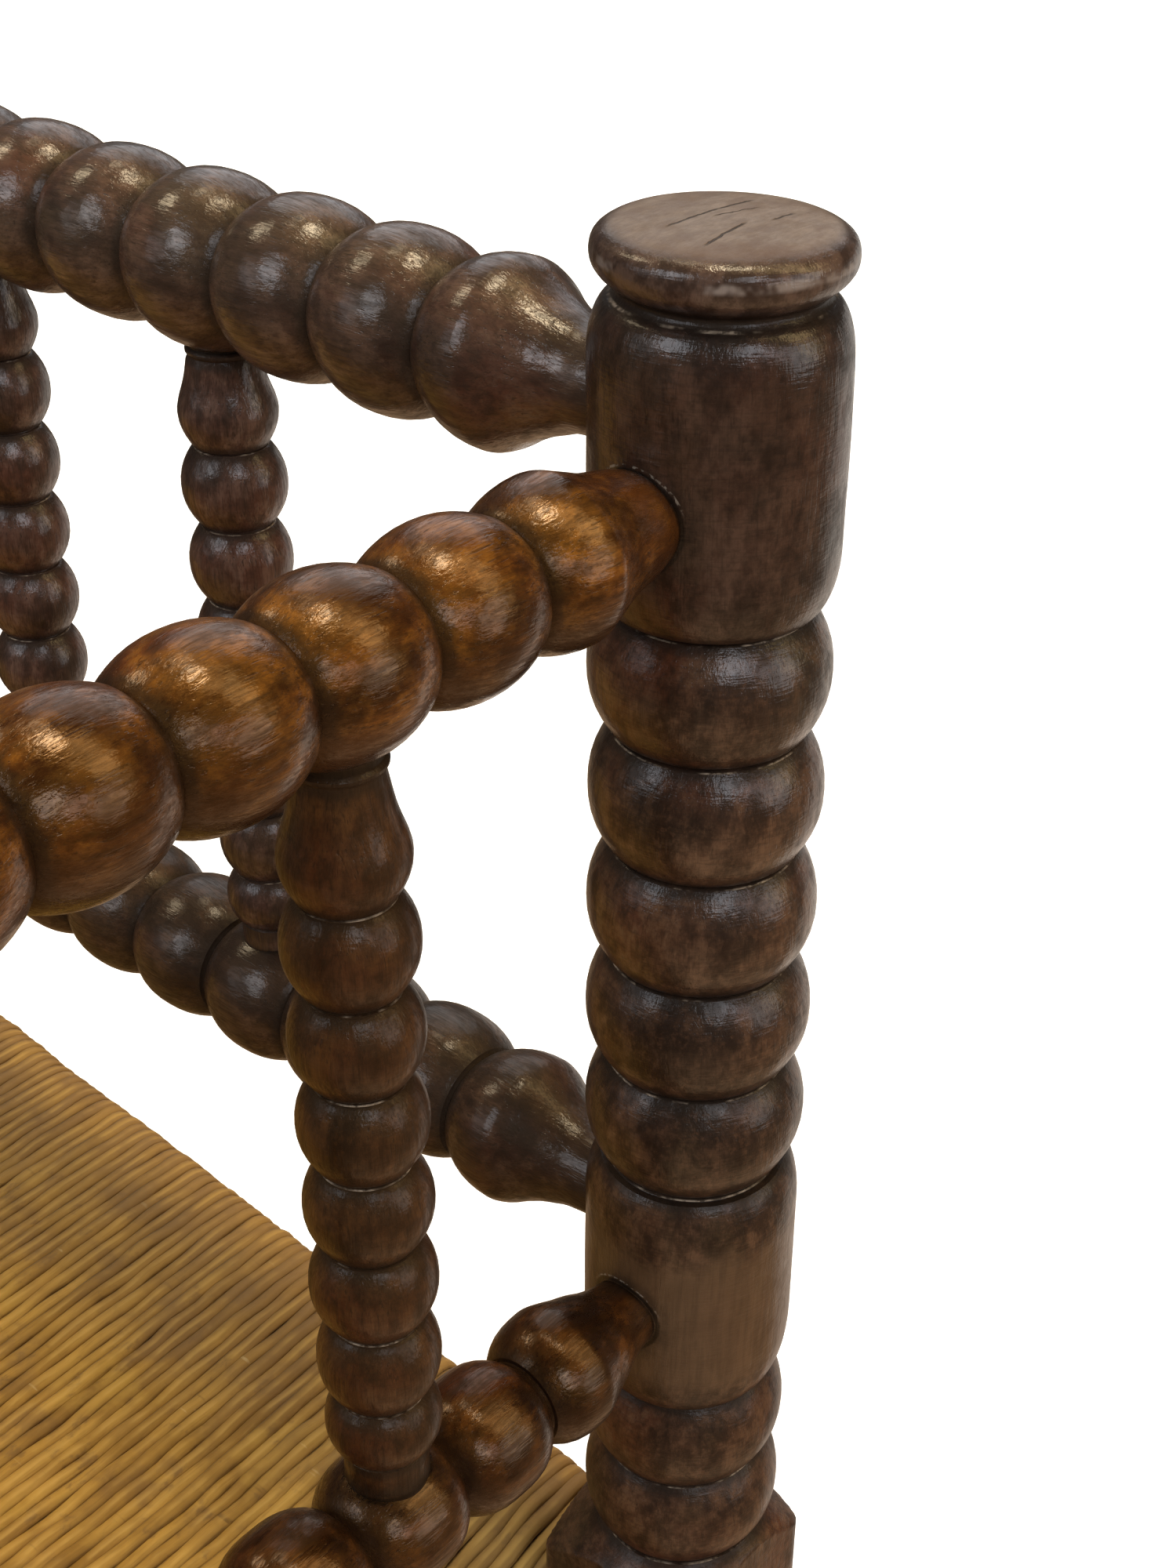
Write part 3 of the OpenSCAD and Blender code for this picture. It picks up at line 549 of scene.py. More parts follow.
    # relief
    h = g.math("ADD", g.math("MULTIPLY", streak, 0.45 * grain), g.math("MULTIPLY", fine, 0.30))
    h = g.math("SUBTRACT", h, g.math("MULTIPLY", pit, 0.18))
    h = g.math("ADD", h, g.math("MULTIPLY", field(0.45, 720, 3, 0.6, 12.4), 0.85))
    h = g.math("ADD", h, g.math("MULTIPLY", field(0.8, 210, 2, 0.5, 9.9), 0.8))
    if marks:
        h = g.math("ADD", h, g.math("MULTIPLY", cuts, 0.9 * marks))
    h = g.math("ADD", h, g.math("MULTIPLY", small, 0.35))
    h = g.math("ADD", h, g.math("MULTIPLY", soft, g.math("MULTIPLY", cav, 1.2)))
    if cap:
        h = g.math("SUBTRACT", h, g.math("MULTIPLY", crack, 3.0))
    bump = g.add("ShaderNodeBump", {"Strength": 0.6, "Distance": 0.00024, "Height": h}).outputs[0]
    lines = g.math("ADD", g.math("MULTIPLY", streak, 0.5), g.math("MULTIPLY", fine, 0.5))
    uneven = g.math("ADD", g.range(lines, 0.38, 0.64, -0.08 * min(1.0, grain), 0.20 * min(1.0, grain)), g.math("MULTIPLY", g.math("SUBTRACT", blotch, 0.5), 0.30))
    roughness = g.math("ADD", g.math("ADD", uneven, rough), g.math("MULTIPLY", cav, 0.15), clamp=True)
    skin = g.math("MULTIPLY", g.range(mott, 0.34, 0.56, 0.40, 1.0), coat)
    skin = g.math("MULTIPLY", skin, g.math("SUBTRACT", 1.0, g.math("MULTIPLY", cav, 0.7)))
    skin = g.math("MULTIPLY", skin, g.range(lines, 0.42, 0.62, 1.0, 1.0 - 0.55 * min(1.0, grain)))
    if low_coat is not None:
        skin = g.math("MULTIPLY", skin, g.range(g.attr("hz"), low_coat[0], low_coat[1], low_coat[2], 1.0))
    if cap:
        roughness = g.math("ADD", roughness, g.math("MULTIPLY", top, 0.18), clamp=True)
        skin = g.math("MULTIPLY", skin, g.math("SUBTRACT", 1.0, g.math("MULTIPLY", top, 0.75)))
    p = g.add("ShaderNodeBsdfPrincipled", {"Base Color": base, "Roughness": roughness, "IOR": ior, "Specular IOR Level": spec, "Specular Tint": (*tint, 1),
                                           "Coat Weight": skin, "Coat Roughness": coat_rough, "Coat IOR": 1.5, "Normal": bump, "Coat Normal": bump})
    g.link(p.outputs[0], g.out.inputs[0])
    return g.mat


M_POST = wood("walnut_post", (0.0140, 0.0062, 0.0034), (0.0640, 0.0268, 0.0122), (0.1180, 0.0560, 0.0262), (0.1100, 0.0310, 0.0108), (0.0600, 0.0370, 0.0150),
              (0.0095, 0.0062, 0.0045), (1.0, 0.76, 0.55), spec=0.3, coat=1.0, coat_rough=0.16, grain=0.22, pores=0.3, fade=(0.098, 0.0515, 0.0228), cap=True,
              marks=0.7, low_coat=(0.48, 0.68, 0.35), fleck=0.5, block=(0.58, 0.56, 0.68))
M_ARM = wood("chestnut_arm", (0.0290, 0.0092, 0.0024), (0.1250, 0.0400, 0.0052), (0.2350, 0.0880, 0.0105), (0.1450, 0.0335, 0.0046), (0.0920, 0.0410, 0.0066),
             (0.0110, 0.0065, 0.0042), (1.0, 0.48, 0.10), spec=0.50, coat=0.60, coat_rough=0.13, rough=0.27, pores=0.6, grain=1.3, neck=0.65, underside_shade=0.86)
# a darker copy of the arm wood for the lower arm rails: painted shade from the upper arm rails above them
M_ARM_LOW_SHADED = wood("chestnut_arm_low_shaded", (0.0110, 0.0044, 0.0022), (0.0500, 0.0165, 0.0038), (0.1150, 0.0400, 0.0072), (0.0900, 0.0220, 0.0048), (0.0480, 0.0230, 0.0055),
                 (0.0100, 0.0060, 0.0042), (1.0, 0.48, 0.12), spec=0.5, coat=0.45, coat_rough=0.13, rough=0.30, pores=0.6, grain=1.0, neck=0.3, underside_shade=0.75)
M_BACK = wood("walnut_back", (0.0175, 0.0088, 0.0070), (0.0580, 0.0278, 0.0182), (0.1200, 0.0640, 0.0390), (0.0900, 0.0275, 0.0140), (0.0720, 0.0460, 0.0230),
              (0.0120, 0.0078, 0.0062), (1.0, 0.70, 0.42), spec=0.5, coat=1.0, coat_rough=0.14, pores=0.6, grain=0.8, neck=0.3)
# a darker copy of the back rail wood for the lower back rail: painted shade from the top rail above it
M_BACK_LOW_SHADED = wood("walnut_back_low_shaded", (0.0110, 0.0052, 0.0037), (0.0360, 0.0160, 0.0092), (0.0760, 0.0370, 0.0190), (0.0680, 0.0190, 0.0080), (0.0450, 0.0270, 0.0120),
                  (0.0110, 0.0070, 0.0055), (1.0, 0.70, 0.42), spec=0.4, coat=0.55, coat_rough=0.15, pores=0.6, grain=0.8, neck=0.5)
M_SPIN = wood("walnut_spindle", (0.0090, 0.0034, 0.0014), (0.0340, 0.0106, 0.0026), (0.0780, 0.0280, 0.0060), (0.0680, 0.0160, 0.0040), (0.0370, 0.0175, 0.0044),
              (0.0090, 0.0050, 0.0032), (1.0, 0.62, 0.30), spec=0.5, coat=0.40, coat_rough=0.15, grain=0.7, marks=0.4, fleck=0.4)
# painted light: the far spindles get a lighter, greyer copy of the spindle wood, as haze over the distance
M_SPIN_BACK_HAZED = wood("walnut_spindle_back_hazed", (0.0170, 0.0078, 0.0055), (0.0660, 0.0275, 0.0175), (0.1250, 0.0620, 0.0400), (0.0950, 0.0280, 0.0135), (0.0600, 0.0350, 0.0180),
                   (0.0130, 0.0080, 0.0060), (1.0, 0.72, 0.50), spec=0.4, coat=0.95, coat_rough=0.15, grain=0.9, marks=0.3)
M_STR = wood("walnut_stretcher", (0.0200, 0.0095, 0.0055), (0.0640, 0.0280, 0.0120), (0.1150, 0.0560, 0.0240), (0.0900, 0.0270, 0.0105), (0.0700, 0.0420, 0.0160),
             (0.0120, 0.0075, 0.0055), (1.0, 0.74, 0.48), spec=0.4, coat=0.7, coat_rough=0.2)


def frame_wood():
    """Plain sawn wood of the seat rails, which keep their CAD meshes."""
    g = Graph("seat_frame_wood")
    tc = g.add("ShaderNodeTexCoord").outputs["Object"]
    n1 = g.noise(g.vmath("MULTIPLY", tc, (0.2, 0.2, 1)), 300, 4, 0.6)
    n2 = g.noise(tc, 40, 3, 0.6)
    c = g.mix(g.range(n1, 0.35, 0.65), (0.12, 0.065, 0.03), (0.24, 0.14, 0.07))
    c = g.mix(g.range(n2, 0.45, 0.7, 0, 0.5), c, (0.06, 0.035, 0.02))
    b = g.add("ShaderNodeBump", {"Strength": 0.5, "Distance": 0.0003, "Height": n1}).outputs[0]
    p = g.add("ShaderNodeBsdfPrincipled", {"Base Color": c, "Roughness": 0.7, "Normal": b})
    g.link(p.outputs[0], g.out.inputs[0])
    return g.mat


def rush_material():
    g = Graph("seating_rush")
    rc, tone, seed, age, deep = g.attr("rc", True), g.attr("tone"), g.attr("seed"), g.attr("age"), g.attr("deep")
    sep = g.add("ShaderNodeSeparateXYZ", {0: rc})
    s, ca, sa = sep.outputs[0], sep.outputs[1], sep.outputs[2]
    ang = g.math("DIVIDE", g.math("ARCTAN2", sa, ca), TAU)
    # the leaves are twisted to one cord: creases run round it
    turn = g.math("SUBTRACT", g.math("MULTIPLY", ang, 2.0), g.math("DIVIDE", s, 0.021))
    wig = g.noise(g.add("ShaderNodeCombineXYZ", {"X": s, "Y": seed, "Z": 0.0}).outputs[0], 55, 2, 0.5)
    ph = g.math("FRACT", g.math("ADD", turn, g.math("MULTIPLY", wig, 1.6)))
    crease = g.range(g.math("ABSOLUTE", g.math("SUBTRACT", ph, 0.5)), 0.36, 0.5)
    xyz = g.add("ShaderNodeCombineXYZ", {"X": g.math("ADD", g.math("MULTIPLY", ca, 0.0024), seed), "Y": g.math("MULTIPLY", sa, 0.0024),
                                         "Z": g.math("MULTIPLY", s, 0.06)}).outputs[0]
    fibre = g.noise(xyz, 1500, 3, 0.6)
    xyz2 = g.add("ShaderNodeCombineXYZ", {"X": seed, "Y": g.math("MULTIPLY", sa, 0.0012), "Z": s}).outputs[0]
    along = g.noise(xyz2, 26, 3, 0.6)
    spot = g.noise(xyz2, 140, 3, 0.7)
    base = g.mix(g.range(tone, 0.0, 1.0), (0.270, 0.138, 0.0220), (0.440, 0.240, 0.0420))
    base = g.mix(g.math("MULTIPLY", g.range(along, 0.42, 0.66), 0.8), base, (0.540, 0.308, 0.0600))
    base = g.mix(g.math("MULTIPLY", g.range(along, 0.30, 0.46, 1.0, 0.0), 0.60), base, (0.200, 0.102, 0.0220))
    base = g.mix(g.math("MULTIPLY", g.range(fibre, 0.45, 0.75), 0.35), base, (0.190, 0.098, 0.0190))
    base = g.mix(g.math("MULTIPLY", g.range(fibre, 0.20, 0.42, 1.0, 0.0), 0.25), base, (0.620, 0.400, 0.1250))
    base = g.mix(g.math("MULTIPLY", g.range(spot, 0.65, 0.73), 0.65), base, (0.110, 0.055, 0.0150))
    base = g.mix(g.math("MULTIPLY", g.math("MULTIPLY", g.range(spot, 0.27, 0.34, 1.0, 0.0), g.range(tone, 0.50, 0.72)), 0.85), base, (0.820, 0.640, 0.3000))
    # painted shade in the creases of the twist
    base = g.mix(g.math("MULTIPLY", crease, 0.10), base, (0.160, 0.080, 0.0180))
    # smudges that run across several cords
    pos = g.add("ShaderNodeNewGeometry").outputs["Position"]
    wide = g.noise(pos, 42, 4, 0.62)
    wide2 = g.noise(g.vmath("MULTIPLY", pos, (1.6, 1.0, 1.0)), 90, 4, 0.65)
    base = g.mix(g.range(wide, 0.50, 0.66, 0.0, 0.60), base, (0.205, 0.108, 0.0330))
    base = g.mix(g.range(wide, 0.30, 0.46, 0.55, 0.0), base, (0.520, 0.305, 0.0540))
    base = g.mix(g.range(wide2, 0.56, 0.68, 0.0, 0.55), base, (0.165, 0.088, 0.0300))
    # worn and dirty where hands and clothes rub; a painted highlight along the top of each cord, and painted shade down
    # its sides and between the cords
    base = g.mix(g.math("MULTIPLY", age, g.range(along, 0.2, 0.8, 0.90, 0.55)), base, (0.262, 0.152, 0.0570))
    vary = g.noise(xyz2, 48, 3, 0.6, w=11.0)
    base = g.mix(g.math("MULTIPLY", g.range(deep, 0.0, 0.08, 0.50, 0.0), g.range(vary, 0.42, 0.60)), base, (0.600, 0.370, 0.0950))
    base = g.mix(g.math("MULTIPLY", g.range(deep, 0.03, 0.34, smooth=False), g.range(vary, 0.36, 0.60, 0.85, 0.40)), base, (0.120, 0.058, 0.0110))
    h = g.math("SUBTRACT", g.math("MULTIPLY", fibre, 0.6), g.math("MULTIPLY", crease, 0.3))
    h = g.math("ADD", h, g.math("MULTIPLY", along, 0.5))
    b = g.add("ShaderNodeBump", {"Strength": 0.5, "Distance": 0.0003, "Height": h}).outputs[0]
    p = g.add("ShaderNodeBsdfPrincipled", {"Base Color": base, "Roughness": g.range(fibre, 0.2, 0.8, 0.52, 0.72, smooth=False), "IOR": 1.45,
                                           "Specular IOR Level": 0.22, "Sheen Weight": 0.06, "Sheen Roughness": 0.4, "Normal": b})
    g.link(p.outputs[0], g.out.inputs[0])
    return g.mat


M_FRAME = frame_wood()
M_RUSH = rush_material()


def finish_piece(ob, mat, slot, *nodes):
    ob.data.materials.append(mat)
    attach(ob, "root")
    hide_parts(*nodes)
    return ob


# ---------------------------------------------------------------- camera first
R = Vector((0.77353131, 0.63344164, 0.02002506))
F = Vector((-0.53058407, 0.66455958, -0.52615693)).normalized()
R = (R - F * R.dot(F)).normalized()
U = R.cross(F).normalized()
cam_data = bpy.data.cameras.new("camera")
cam_data.sensor_width, cam_data.sensor_fit = 36.0, "AUTO"
cam_data.lens = 48.58393
cam_data.shift_x, cam_data.shift_y = -0.0473139, 0.0120615
cam_data.clip_start, cam_data.clip_end = 0.02, 100.0
cam = bpy.data.objects.new("camera", cam_data)
cam.matrix_world = Matrix(((R.x, U.x, -F.x, 0.73836), (R.y, U.y, -F.y, -0.09447), (R.z, U.z, -F.z, 0.88835), (0, 0, 0, 1)))
bpy.context.scene.collection.objects.link(cam)
bpy.context.scene.camera = cam

# ---------------------------------------------------------------- posts
POSTS = {"post_back_right": (PX, PY, 1), "post_back_left": (-PX, PY, 2), "post_front_right": (PX, -PY, 3), "post_front_left": (-PX, -PY, 4)}
for name, (x, y, seed) in POSTS.items():
    rng = np.random.default_rng(100 + seed)
    rows, grooves, (sq_lo, sq_hi) = post_rows(rng)
    dx, dy = -math.copysign(1, x), -math.copysign(1, y)
    js = [((0, dy), ARM_Z, 10.0), ((0, dy), ARM_LOW, 9.3), ((0, dy), STR_SIDE, 9.3), ((dx, 0), STR_Z, 10.0)]
    if y > 0:
        js += [((dx, 0), RAIL_Z, 10.0), ((dx, 0), LOW_Z, 10.3)]
    ob = turned(name + "_turned", rows, grooves, upright(x, y, 0), 128, 200 + seed, rng.uniform(0.35, 0.65), joints=js,
                square=(sq_lo, sq_hi, 24.8, 1.3 * dx, 1.3 * math.copysign(1, -y), 4.0), amp=0.09, dents=0.8)
    finish_piece(ob, M_POST, "post_wood", name)


# ---------------------------------------------------------------- rails
def rail_end(length, flip=False):
    """Distance of a point of a rail from the surface of the post it runs into; the post is upright and local X points up."""
    def f(co):
        side = np.clip(np.abs(co[:, 1]), 0, 24)
        depth = np.sqrt(625 - side ** 2)
        return np.minimum(co[:, 2] - depth, length - co[:, 2] - depth)
    return f


def make_rail(name, spec, place, seed, mat, slot, seg=96, amp=0.10, spin=(), spin_side=0):
    rng = np.random.default_rng(300 + seed)
    rows, grooves, length = rail_rows(rng, **spec)
    f = rail_end(length)

    def jd(co):
        out = f(co)
        for at, rad in spin:
            side = np.hypot(co[:, 2] - at, co[:, 1]) - rad
            out = np.where(co[:, 0] * spin_side > 3, np.minimum(out, side), out)
        return out
    ob = turned(name + "_turned", rows, grooves, place, seg, 400 + seed, rng.uniform(0.3, 0.7), amp=amp, dents=0.7, jd_end=jd)
    return finish_piece(ob, mat, slot, name)


back_at = [52.3 + 3 * i * 30.5 for i in range(1, 10)]
arm_at = [47.1 + (4 * i - 2) * 26.5 for i in range(1, 4)]
STRETCH_X = dict(BACK, r=17.0, rg=11.8, vase=[(24, 10.0), (30, 10.6), (36, 12.0), (42, 14.0), (47, 15.9), (52.3, 17.0)])
STRETCH_Y = dict(ARM, r=17.0, rg=12.0, vase=[(24, 9.8), (30, 11.2), (36, 13.0), (42, 15.6), (47.1, 17.0)])
# local X is down for a rail that lies along X with this matrix, so a spindle below it is on the +X side
make_rail("back_top_rail", BACK, along_x(-PX, PY, RAIL_Z), 1, M_BACK, "back_rail_wood", spin=[(a, 8.0) for a in back_at], spin_side=1)
make_rail("back_lower_rail", BACK_LOW, along_x(-PX, PY, LOW_Z), 2, M_BACK_LOW_SHADED, "back_rail_wood", spin=[(a, 8.8) for a in back_at], spin_side=-1)
for side, x in (("left", -PX), ("right", PX)):
    k = 3 if side == "left" else 5
    make_rail(f"arm_top_rail_{side}", ARM, along_y_neg(x, PY, ARM_Z), k, M_ARM, "arm_rail_wood", seg=112, spin=[(a, 8.0) for a in arm_at], spin_side=1)
    make_rail(f"arm_lower_rail_{side}", ARM_LOWER, along_y_neg(x, PY, ARM_LOW), k + 1, M_ARM_LOW_SHADED, "arm_rail_wood", seg=112, spin=[(a, 8.8) for a in arm_at],
              spin_side=-1)
for k, (side, y) in enumerate((("front", -PY), ("back", PY))):
    make_rail(f"stretcher_{side}", STRETCH_X, along_x(-PX, y, STR_Z), 11 + k, M_STR, "stretcher_wood", seg=64)
for k, (side, x) in enumerate((("left", -PX), ("right", PX))):
    make_rail(f"stretcher_{side}", STRETCH_Y, along_y_neg(x, PY, STR_SIDE), 13 + k, M_STR, "stretcher_wood", seg=64)


# ---------------------------------------------------------------- spindles
def make_spindle(name, x, y, z_low, gap, r_up, ring, seed, slot):
    rng = np.random.default_rng(500 + seed)
    rows, grooves = spindle_rows(rng, gap, ring)

    def jd(co):
        return np.minimum(gap - r_up + 1.0 - co[:, 2], co[:, 2] - r_up + 2.2)
    ob = turned(name + "_turned", rows, grooves, upright(x, y, z_low, rng.uniform(0, TAU)), 64, 600 + seed, rng.uniform(0.3, 0.7), amp=0.07, dents=0.6,
                jd_end=jd)
    finish_piece(ob, M_SPIN_BACK_HAZED if name.startswith("back") else M_SPIN, slot, name)


for i, a in enumerate(back_at):
    make_spindle(f"back_spindle_{i + 1}", -PX + a, PY, LOW_Z, GAP, 20.0, 20.6, i, "spindle_wood")
for side, x in (("left", -PX), ("right", PX)):
    for i, a in enumerate(arm_at):
        make_spindle(f"arm_spindle_{side}_{i + 1}", x, PY - a, ARM_LOW, ARM_GAP, 16.3, 17.4, 20 + i + (10 if x > 0 else 0), "spindle_wood")

# ---------------------------------------------------------------- the seat frame keeps its CAD meshes
for n in ("seat_rail_front", "seat_rail_back", "seat_rail_left", "seat_rail_right"):
    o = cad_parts[n]
    o.data.materials.clear()
    o.data.materials.append(M_FRAME)

# ---------------------------------------------------------------- the rush: cords over and under the rails, mitred at the corners
CORD_R = 2.27


def table_value(u, pts):
    return float(np.interp(u, [p[0] for p in pts], [p[1] for p in pts]))


CREST = [(25, 409.5), (37, 411), (90, 416), (162, 420.6), (198, 422.5), (237, 424.5), (282, 425.5), (320, 428), (400, 429), (520, 429.5)]
HALF_W = [(25, 12.5), (37, 13), (162, 17.5), (198, 18.5), (237, 19.5), (282, 20.5), (320, 22), (520, 22.3)]
UNDER = [(25, 380), (37, 379), (139, 370), (210, 367), (290, 365.5), (520, 365)]
S_CREST = [(25, 398), (60, 404), (120, 410), (206, 415)]
S_UNDER = [(25, 366), (60, 365), (206, 364.5)]


def seat_meet(u):
    """Height of the top and of the underside where two panels meet, u from the posts' axes."""
    top = table_value(min(u, 206), [(25, 400), (60, 406), (100, 410), (150, 413.5), (206, 415)])
    low = table_value(min(u, 206), [(25, 376), (60, 372), (120, 370), (206, 371)])
    return top, low


def corner(v0, z0, r, a0, a1, n):
    """Points of a round corner about (v0, z0), angles in degrees from the outward direction."""
    return [(v0 + r * math.cos(math.radians(a0 + (a1 - a0) * i / n)), z0 + r * math.sin(math.radians(a0 + (a1 - a0) * i / n))) for i in range(n + 1)]


def cord_path(u, vm, back):
    """Points (v, z) of one cord: v outwards from the rail's axis, from the seam on top, over the rail, to the seam below."""
    if back:
        zt, w, zb = table_value(u, CREST), table_value(u, HALF_W), table_value(u, UNDER)
    else:
        zt, w, zb = table_value(u, S_CREST), 20.5 if u > 60 else 12.5 + (u - 25) / 35 * 8, table_value(u, S_UNDER)
    mt, mb = seat_meet(u)
    lift = CORD_R - 0.1
    zt, zb, w = zt - lift, zb + lift, w - lift
    mt, mb = mt - lift, mb + lift
    rt, rb, e = 6.0, 10.0, -5.0
    pts = []
    # top, from the seam outwards; the cord comes up steeply between its neighbours
    dive = [(-vm - 0.8, mt - 9.5), (-vm + 0.6, mt - 5.2), (-vm + 2.6, mt - 1.9), (-vm + 5.6, mt - 0.3)]
    start = min(-vm + 9.0, e - 1.0)
    n = max(2, int((e - start) / 3.2))
    top = []
    for i in range(n + 1):
        v = start + (e - start) * i / n
        t = np.clip((e - v) / max(vm + e, 1.0), 0, 1)
        top.append((v, zt - (zt - mt) * (t ** 1.5 * (1.35 - 0.35 * t))))
    pts += [q for q in dive if q[0] < start] + top
    pts += [(e + (w - rt - e) * k / 4, zt - 0.35 * (k / 4) ** 2) for k in (1, 2, 3)]
    pts += corner(w - rt, zt - 0.35 - rt, rt, 90, 0, 8)
    z0, z1 = zt - 0.35 - rt, zb + rb
    pts += [(w, z0 + (z1 - z0) * k / 5) for k in range(1, 5)] if z0 - z1 > 6 else []
    pts += corner(w - rb, min(zb + rb, z0), rb, 0, -90, 7)
    n = max(2, int((w - rb - start) / 6.0))
    for i in range(1, n + 1):
        v = w - rb + (start - w + rb) * i / n
        t = np.clip((e - v) / max(vm + e, 1.0), 0, 1)
        pts.append((v, zb + (mb - zb) * t ** 1.4))
    pts += [q for q in [(-vm + 5.6, mb + 0.3), (-vm + 2.6, mb + 1.9), (-vm + 0.6, mb + 5.2), (-vm - 0.8, mb + 9.5)] if q[0] < start]
    return np.array(pts)


def smooth_noise(rng, s, lengths, amp):
    out = np.zeros(len(s))
    for length in lengths:
        out += np.sin(s * TAU / (length * rng.uniform(0.75, 1.3)) + rng.uniform(0, TAU)) * rng.uniform(0.4, 1)
    return out * amp / len(lengths)


def build_panel(name, back, sign, part, sides=9):
    """One run of cords. back: cords cross a long rail; sign: which of the two rails; part: (u range side) -1, +1 or 0 for all."""
    half = (PX if back else PY) - 25.3
    count = 221 if back else 83
    pitch = 2 * half / count
    cos, quads, tris, at = [], [], [], {"tone": [], "seed": [], "age": [], "deep": []}
    rcs = []
    base = 0
    for i in range(count):
        a = -half + pitch * (i + 0.5)
        if part and (a > 0) != (part > 0):
            continue
        rng = np.random.default_rng(7000 + i + (1000 if back else 3000) + (500 if sign > 0 else 0))
        u = (PX if back else PY) - abs(a)
        vm = min(u, PY)
        pts = cord_path(u, vm, back)
        seg = np.linalg.norm(np.diff(pts, axis=0), axis=1)
        s = np.concatenate([[0], np.cumsum(seg)])
        # rings along the path: close round the front of the rail and at the seams, wider underneath
        total = s[-1]
        out = pts[:, 0].max()
        bend = s[np.argmax(pts[:, 0] >= out - 15)]
        marks = [(0.0, min(12.0, bend), 3.0), (min(12.0, bend), bend, 4.4), (bend, bend + 26, 2.2), (bend + 26, bend + 70, 5.0),
                 (bend + 70, total - 12, 9.0), (total - 12, total, 3.0)]
        ss = np.unique(np.concatenate([np.linspace(a0, min(a1, total), max(1, round((a1 - a0) / d)) + 1) for a0, a1, d in marks if a1 > a0 and a0 < total]))
        ss = ss[np.concatenate([[True], np.diff(ss) > 0.8])]
        ss[-1] = total
        v = np.interp(ss, s, pts[:, 0])
        z = np.interp(ss, s, pts[:, 1])
        # soften the corners of the sampled path
        for _ in range(1):
            v[1:-1] = 0.5 * v[1:-1] + 0.25 * (v[:-2] + v[2:])
            z[1:-1] = 0.5 * z[1:-1] + 0.25 * (z[:-2] + z[2:])
        inward = np.clip((-v) / max(vm, 1), 0, 1)
        bow = 2.5 * np.sin(math.pi * inward) * np.clip((u - 40) / 120, 0, 1) * np.clip((420 - u) / 200, 0, 1) if back else 0 * v
        lat = a + math.copysign(1, a) * bow + smooth_noise(rng, ss, (80, 44, 22), 0.85)
        lift = (smooth_noise(rng, ss, (90, 45, 24), 0.55) + rng.normal(0, 0.22)) * (1 - 0.65 * np.clip((v - out + 20) / 14, 0, 1))
        rad = CORD_R * (1 + smooth_noise(rng, ss, (70, 34, 18), 0.10)) * rng.uniform(0.93, 1.05)
        tv, tz = np.gradient(v), np.gradient(z)
        ln = np.hypot(tv, tz)
        tv, tz = tv / ln, tz / ln
        nv, nz = -tz, tv           # outward normal in the section plane
        v = v + nv * lift
        z = z + nz * lift
        th = np.arange(sides) * TAU / sides
        twist = ss / 21.0 * TAU / 2
        lobe = 1 + 0.03 * np.cos(2 * (th[None, :] - twist[:, None]))
        rr = rad[:, None] * lobe
        c, sn = np.cos(th)[None, :], np.sin(th)[None, :]
        # the cords lie flatter where they turn over the rail
        edge = np.clip((v - out + 14) / 9, 0, 1)[:, None]
        push = rr * ((0.66 - 0.24 * edge) * sn + 0.24 + 0.34 * edge)
        A = lat[:, None] + rr * c * (1.20 + 0.04 * edge)
        V = v[:, None] + push * nv[:, None]
        Zc = z[:, None] + push * nz[:, None]
        if back:
            X, Y = A, sign * (PY + V)
        else:
            X, Y = sign * (PX + V), A
        P = np.stack([X, Y, Zc], -1).reshape(-1, 3)
        n = len(ss)
        ii = (np.arange(n - 1) * sides)[:, None]
        j = np.arange(sides)[None, :]
        jn = (j + 1) % sides
        q = np.stack([ii + j, ii + jn, ii + sides + jn, ii + sides + j], -1).reshape(-1, 4)
        flip = (sign > 0) == back
        if flip:
            q = q[:, ::-1]
        jj = np.arange(sides)
        e0 = np.stack([(jj + 1) % sides, jj, np.full(sides, n * sides)], -1)
        e1 = np.stack([(n - 1) * sides + jj, (n - 1) * sides + (jj + 1) % sides, np.full(sides, n * sides + 1)], -1)
        if flip:
            e0, e1 = e0[:, ::-1], e1[:, ::-1]
        ends = np.array([P[:sides].mean(0), P[-sides:].mean(0)])
        cos.append(np.concatenate([P, ends]))
        quads.append(q + base)
        tris.append(np.concatenate([e0, e1]) + base)
        cc = len(P) + 2
        base += cc
        seed = rng.uniform(0, 50)
        tone = np.clip(rng.normal(0.5, 0.28), 0, 1)
        at["tone"].append(np.full(cc, tone))
        at["seed"].append(np.full(cc, seed))
        age = np.clip((v + 62) / 55, 0, 1) * (z > 388) * 0.95 + 0.5 * (z <= 388)
        age = np.clip(age + smooth_noise(rng, ss, (60, 25), 0.25), 0, 1)
        at["age"].append(np.concatenate([np.repeat(age, sides), [0.5, 0.5]]))
        # for painted shade in the material: rises round to the underside of each cord and towards its ends, where it
        # dives between its neighbours
        dp = (1 - np.sin(th)) / 2
        ends_dark = np.clip(1 - np.minimum(ss, total - ss) / 9.0, 0, 1)
        dd = np.maximum(np.broadcast_to(dp[None, :], (n, sides)), ends_dark[:, None])
        at["deep"].append(np.concatenate([dd.ravel(), [1, 1]]))
        rcs.append(np.concatenate([np.stack([np.repeat(ss / 1000.0, sides), np.tile(np.cos(th), n), np.tile(np.sin(th), n)], -1), np.zeros((2, 3))]))
    ob = make_mesh(name, np.concatenate(cos) / 1000.0, np.concatenate(quads), np.concatenate(tris),
                   attrs={k: np.concatenate(x) for k, x in at.items()}, vecs={"rc": np.concatenate(rcs)})
    return finish_piece(ob, M_RUSH, "rush", "rush_seat")


build_panel("rush_back_right", True, 1, 1)
build_panel("rush_back_left", True, 1, -1)
build_panel("rush_front_right", True, -1, 1)
build_panel("rush_front_left", True, -1, -1)
build_panel("rush_side_right", False, 1, 0)
build_panel("rush_side_left", False, -1, 0)

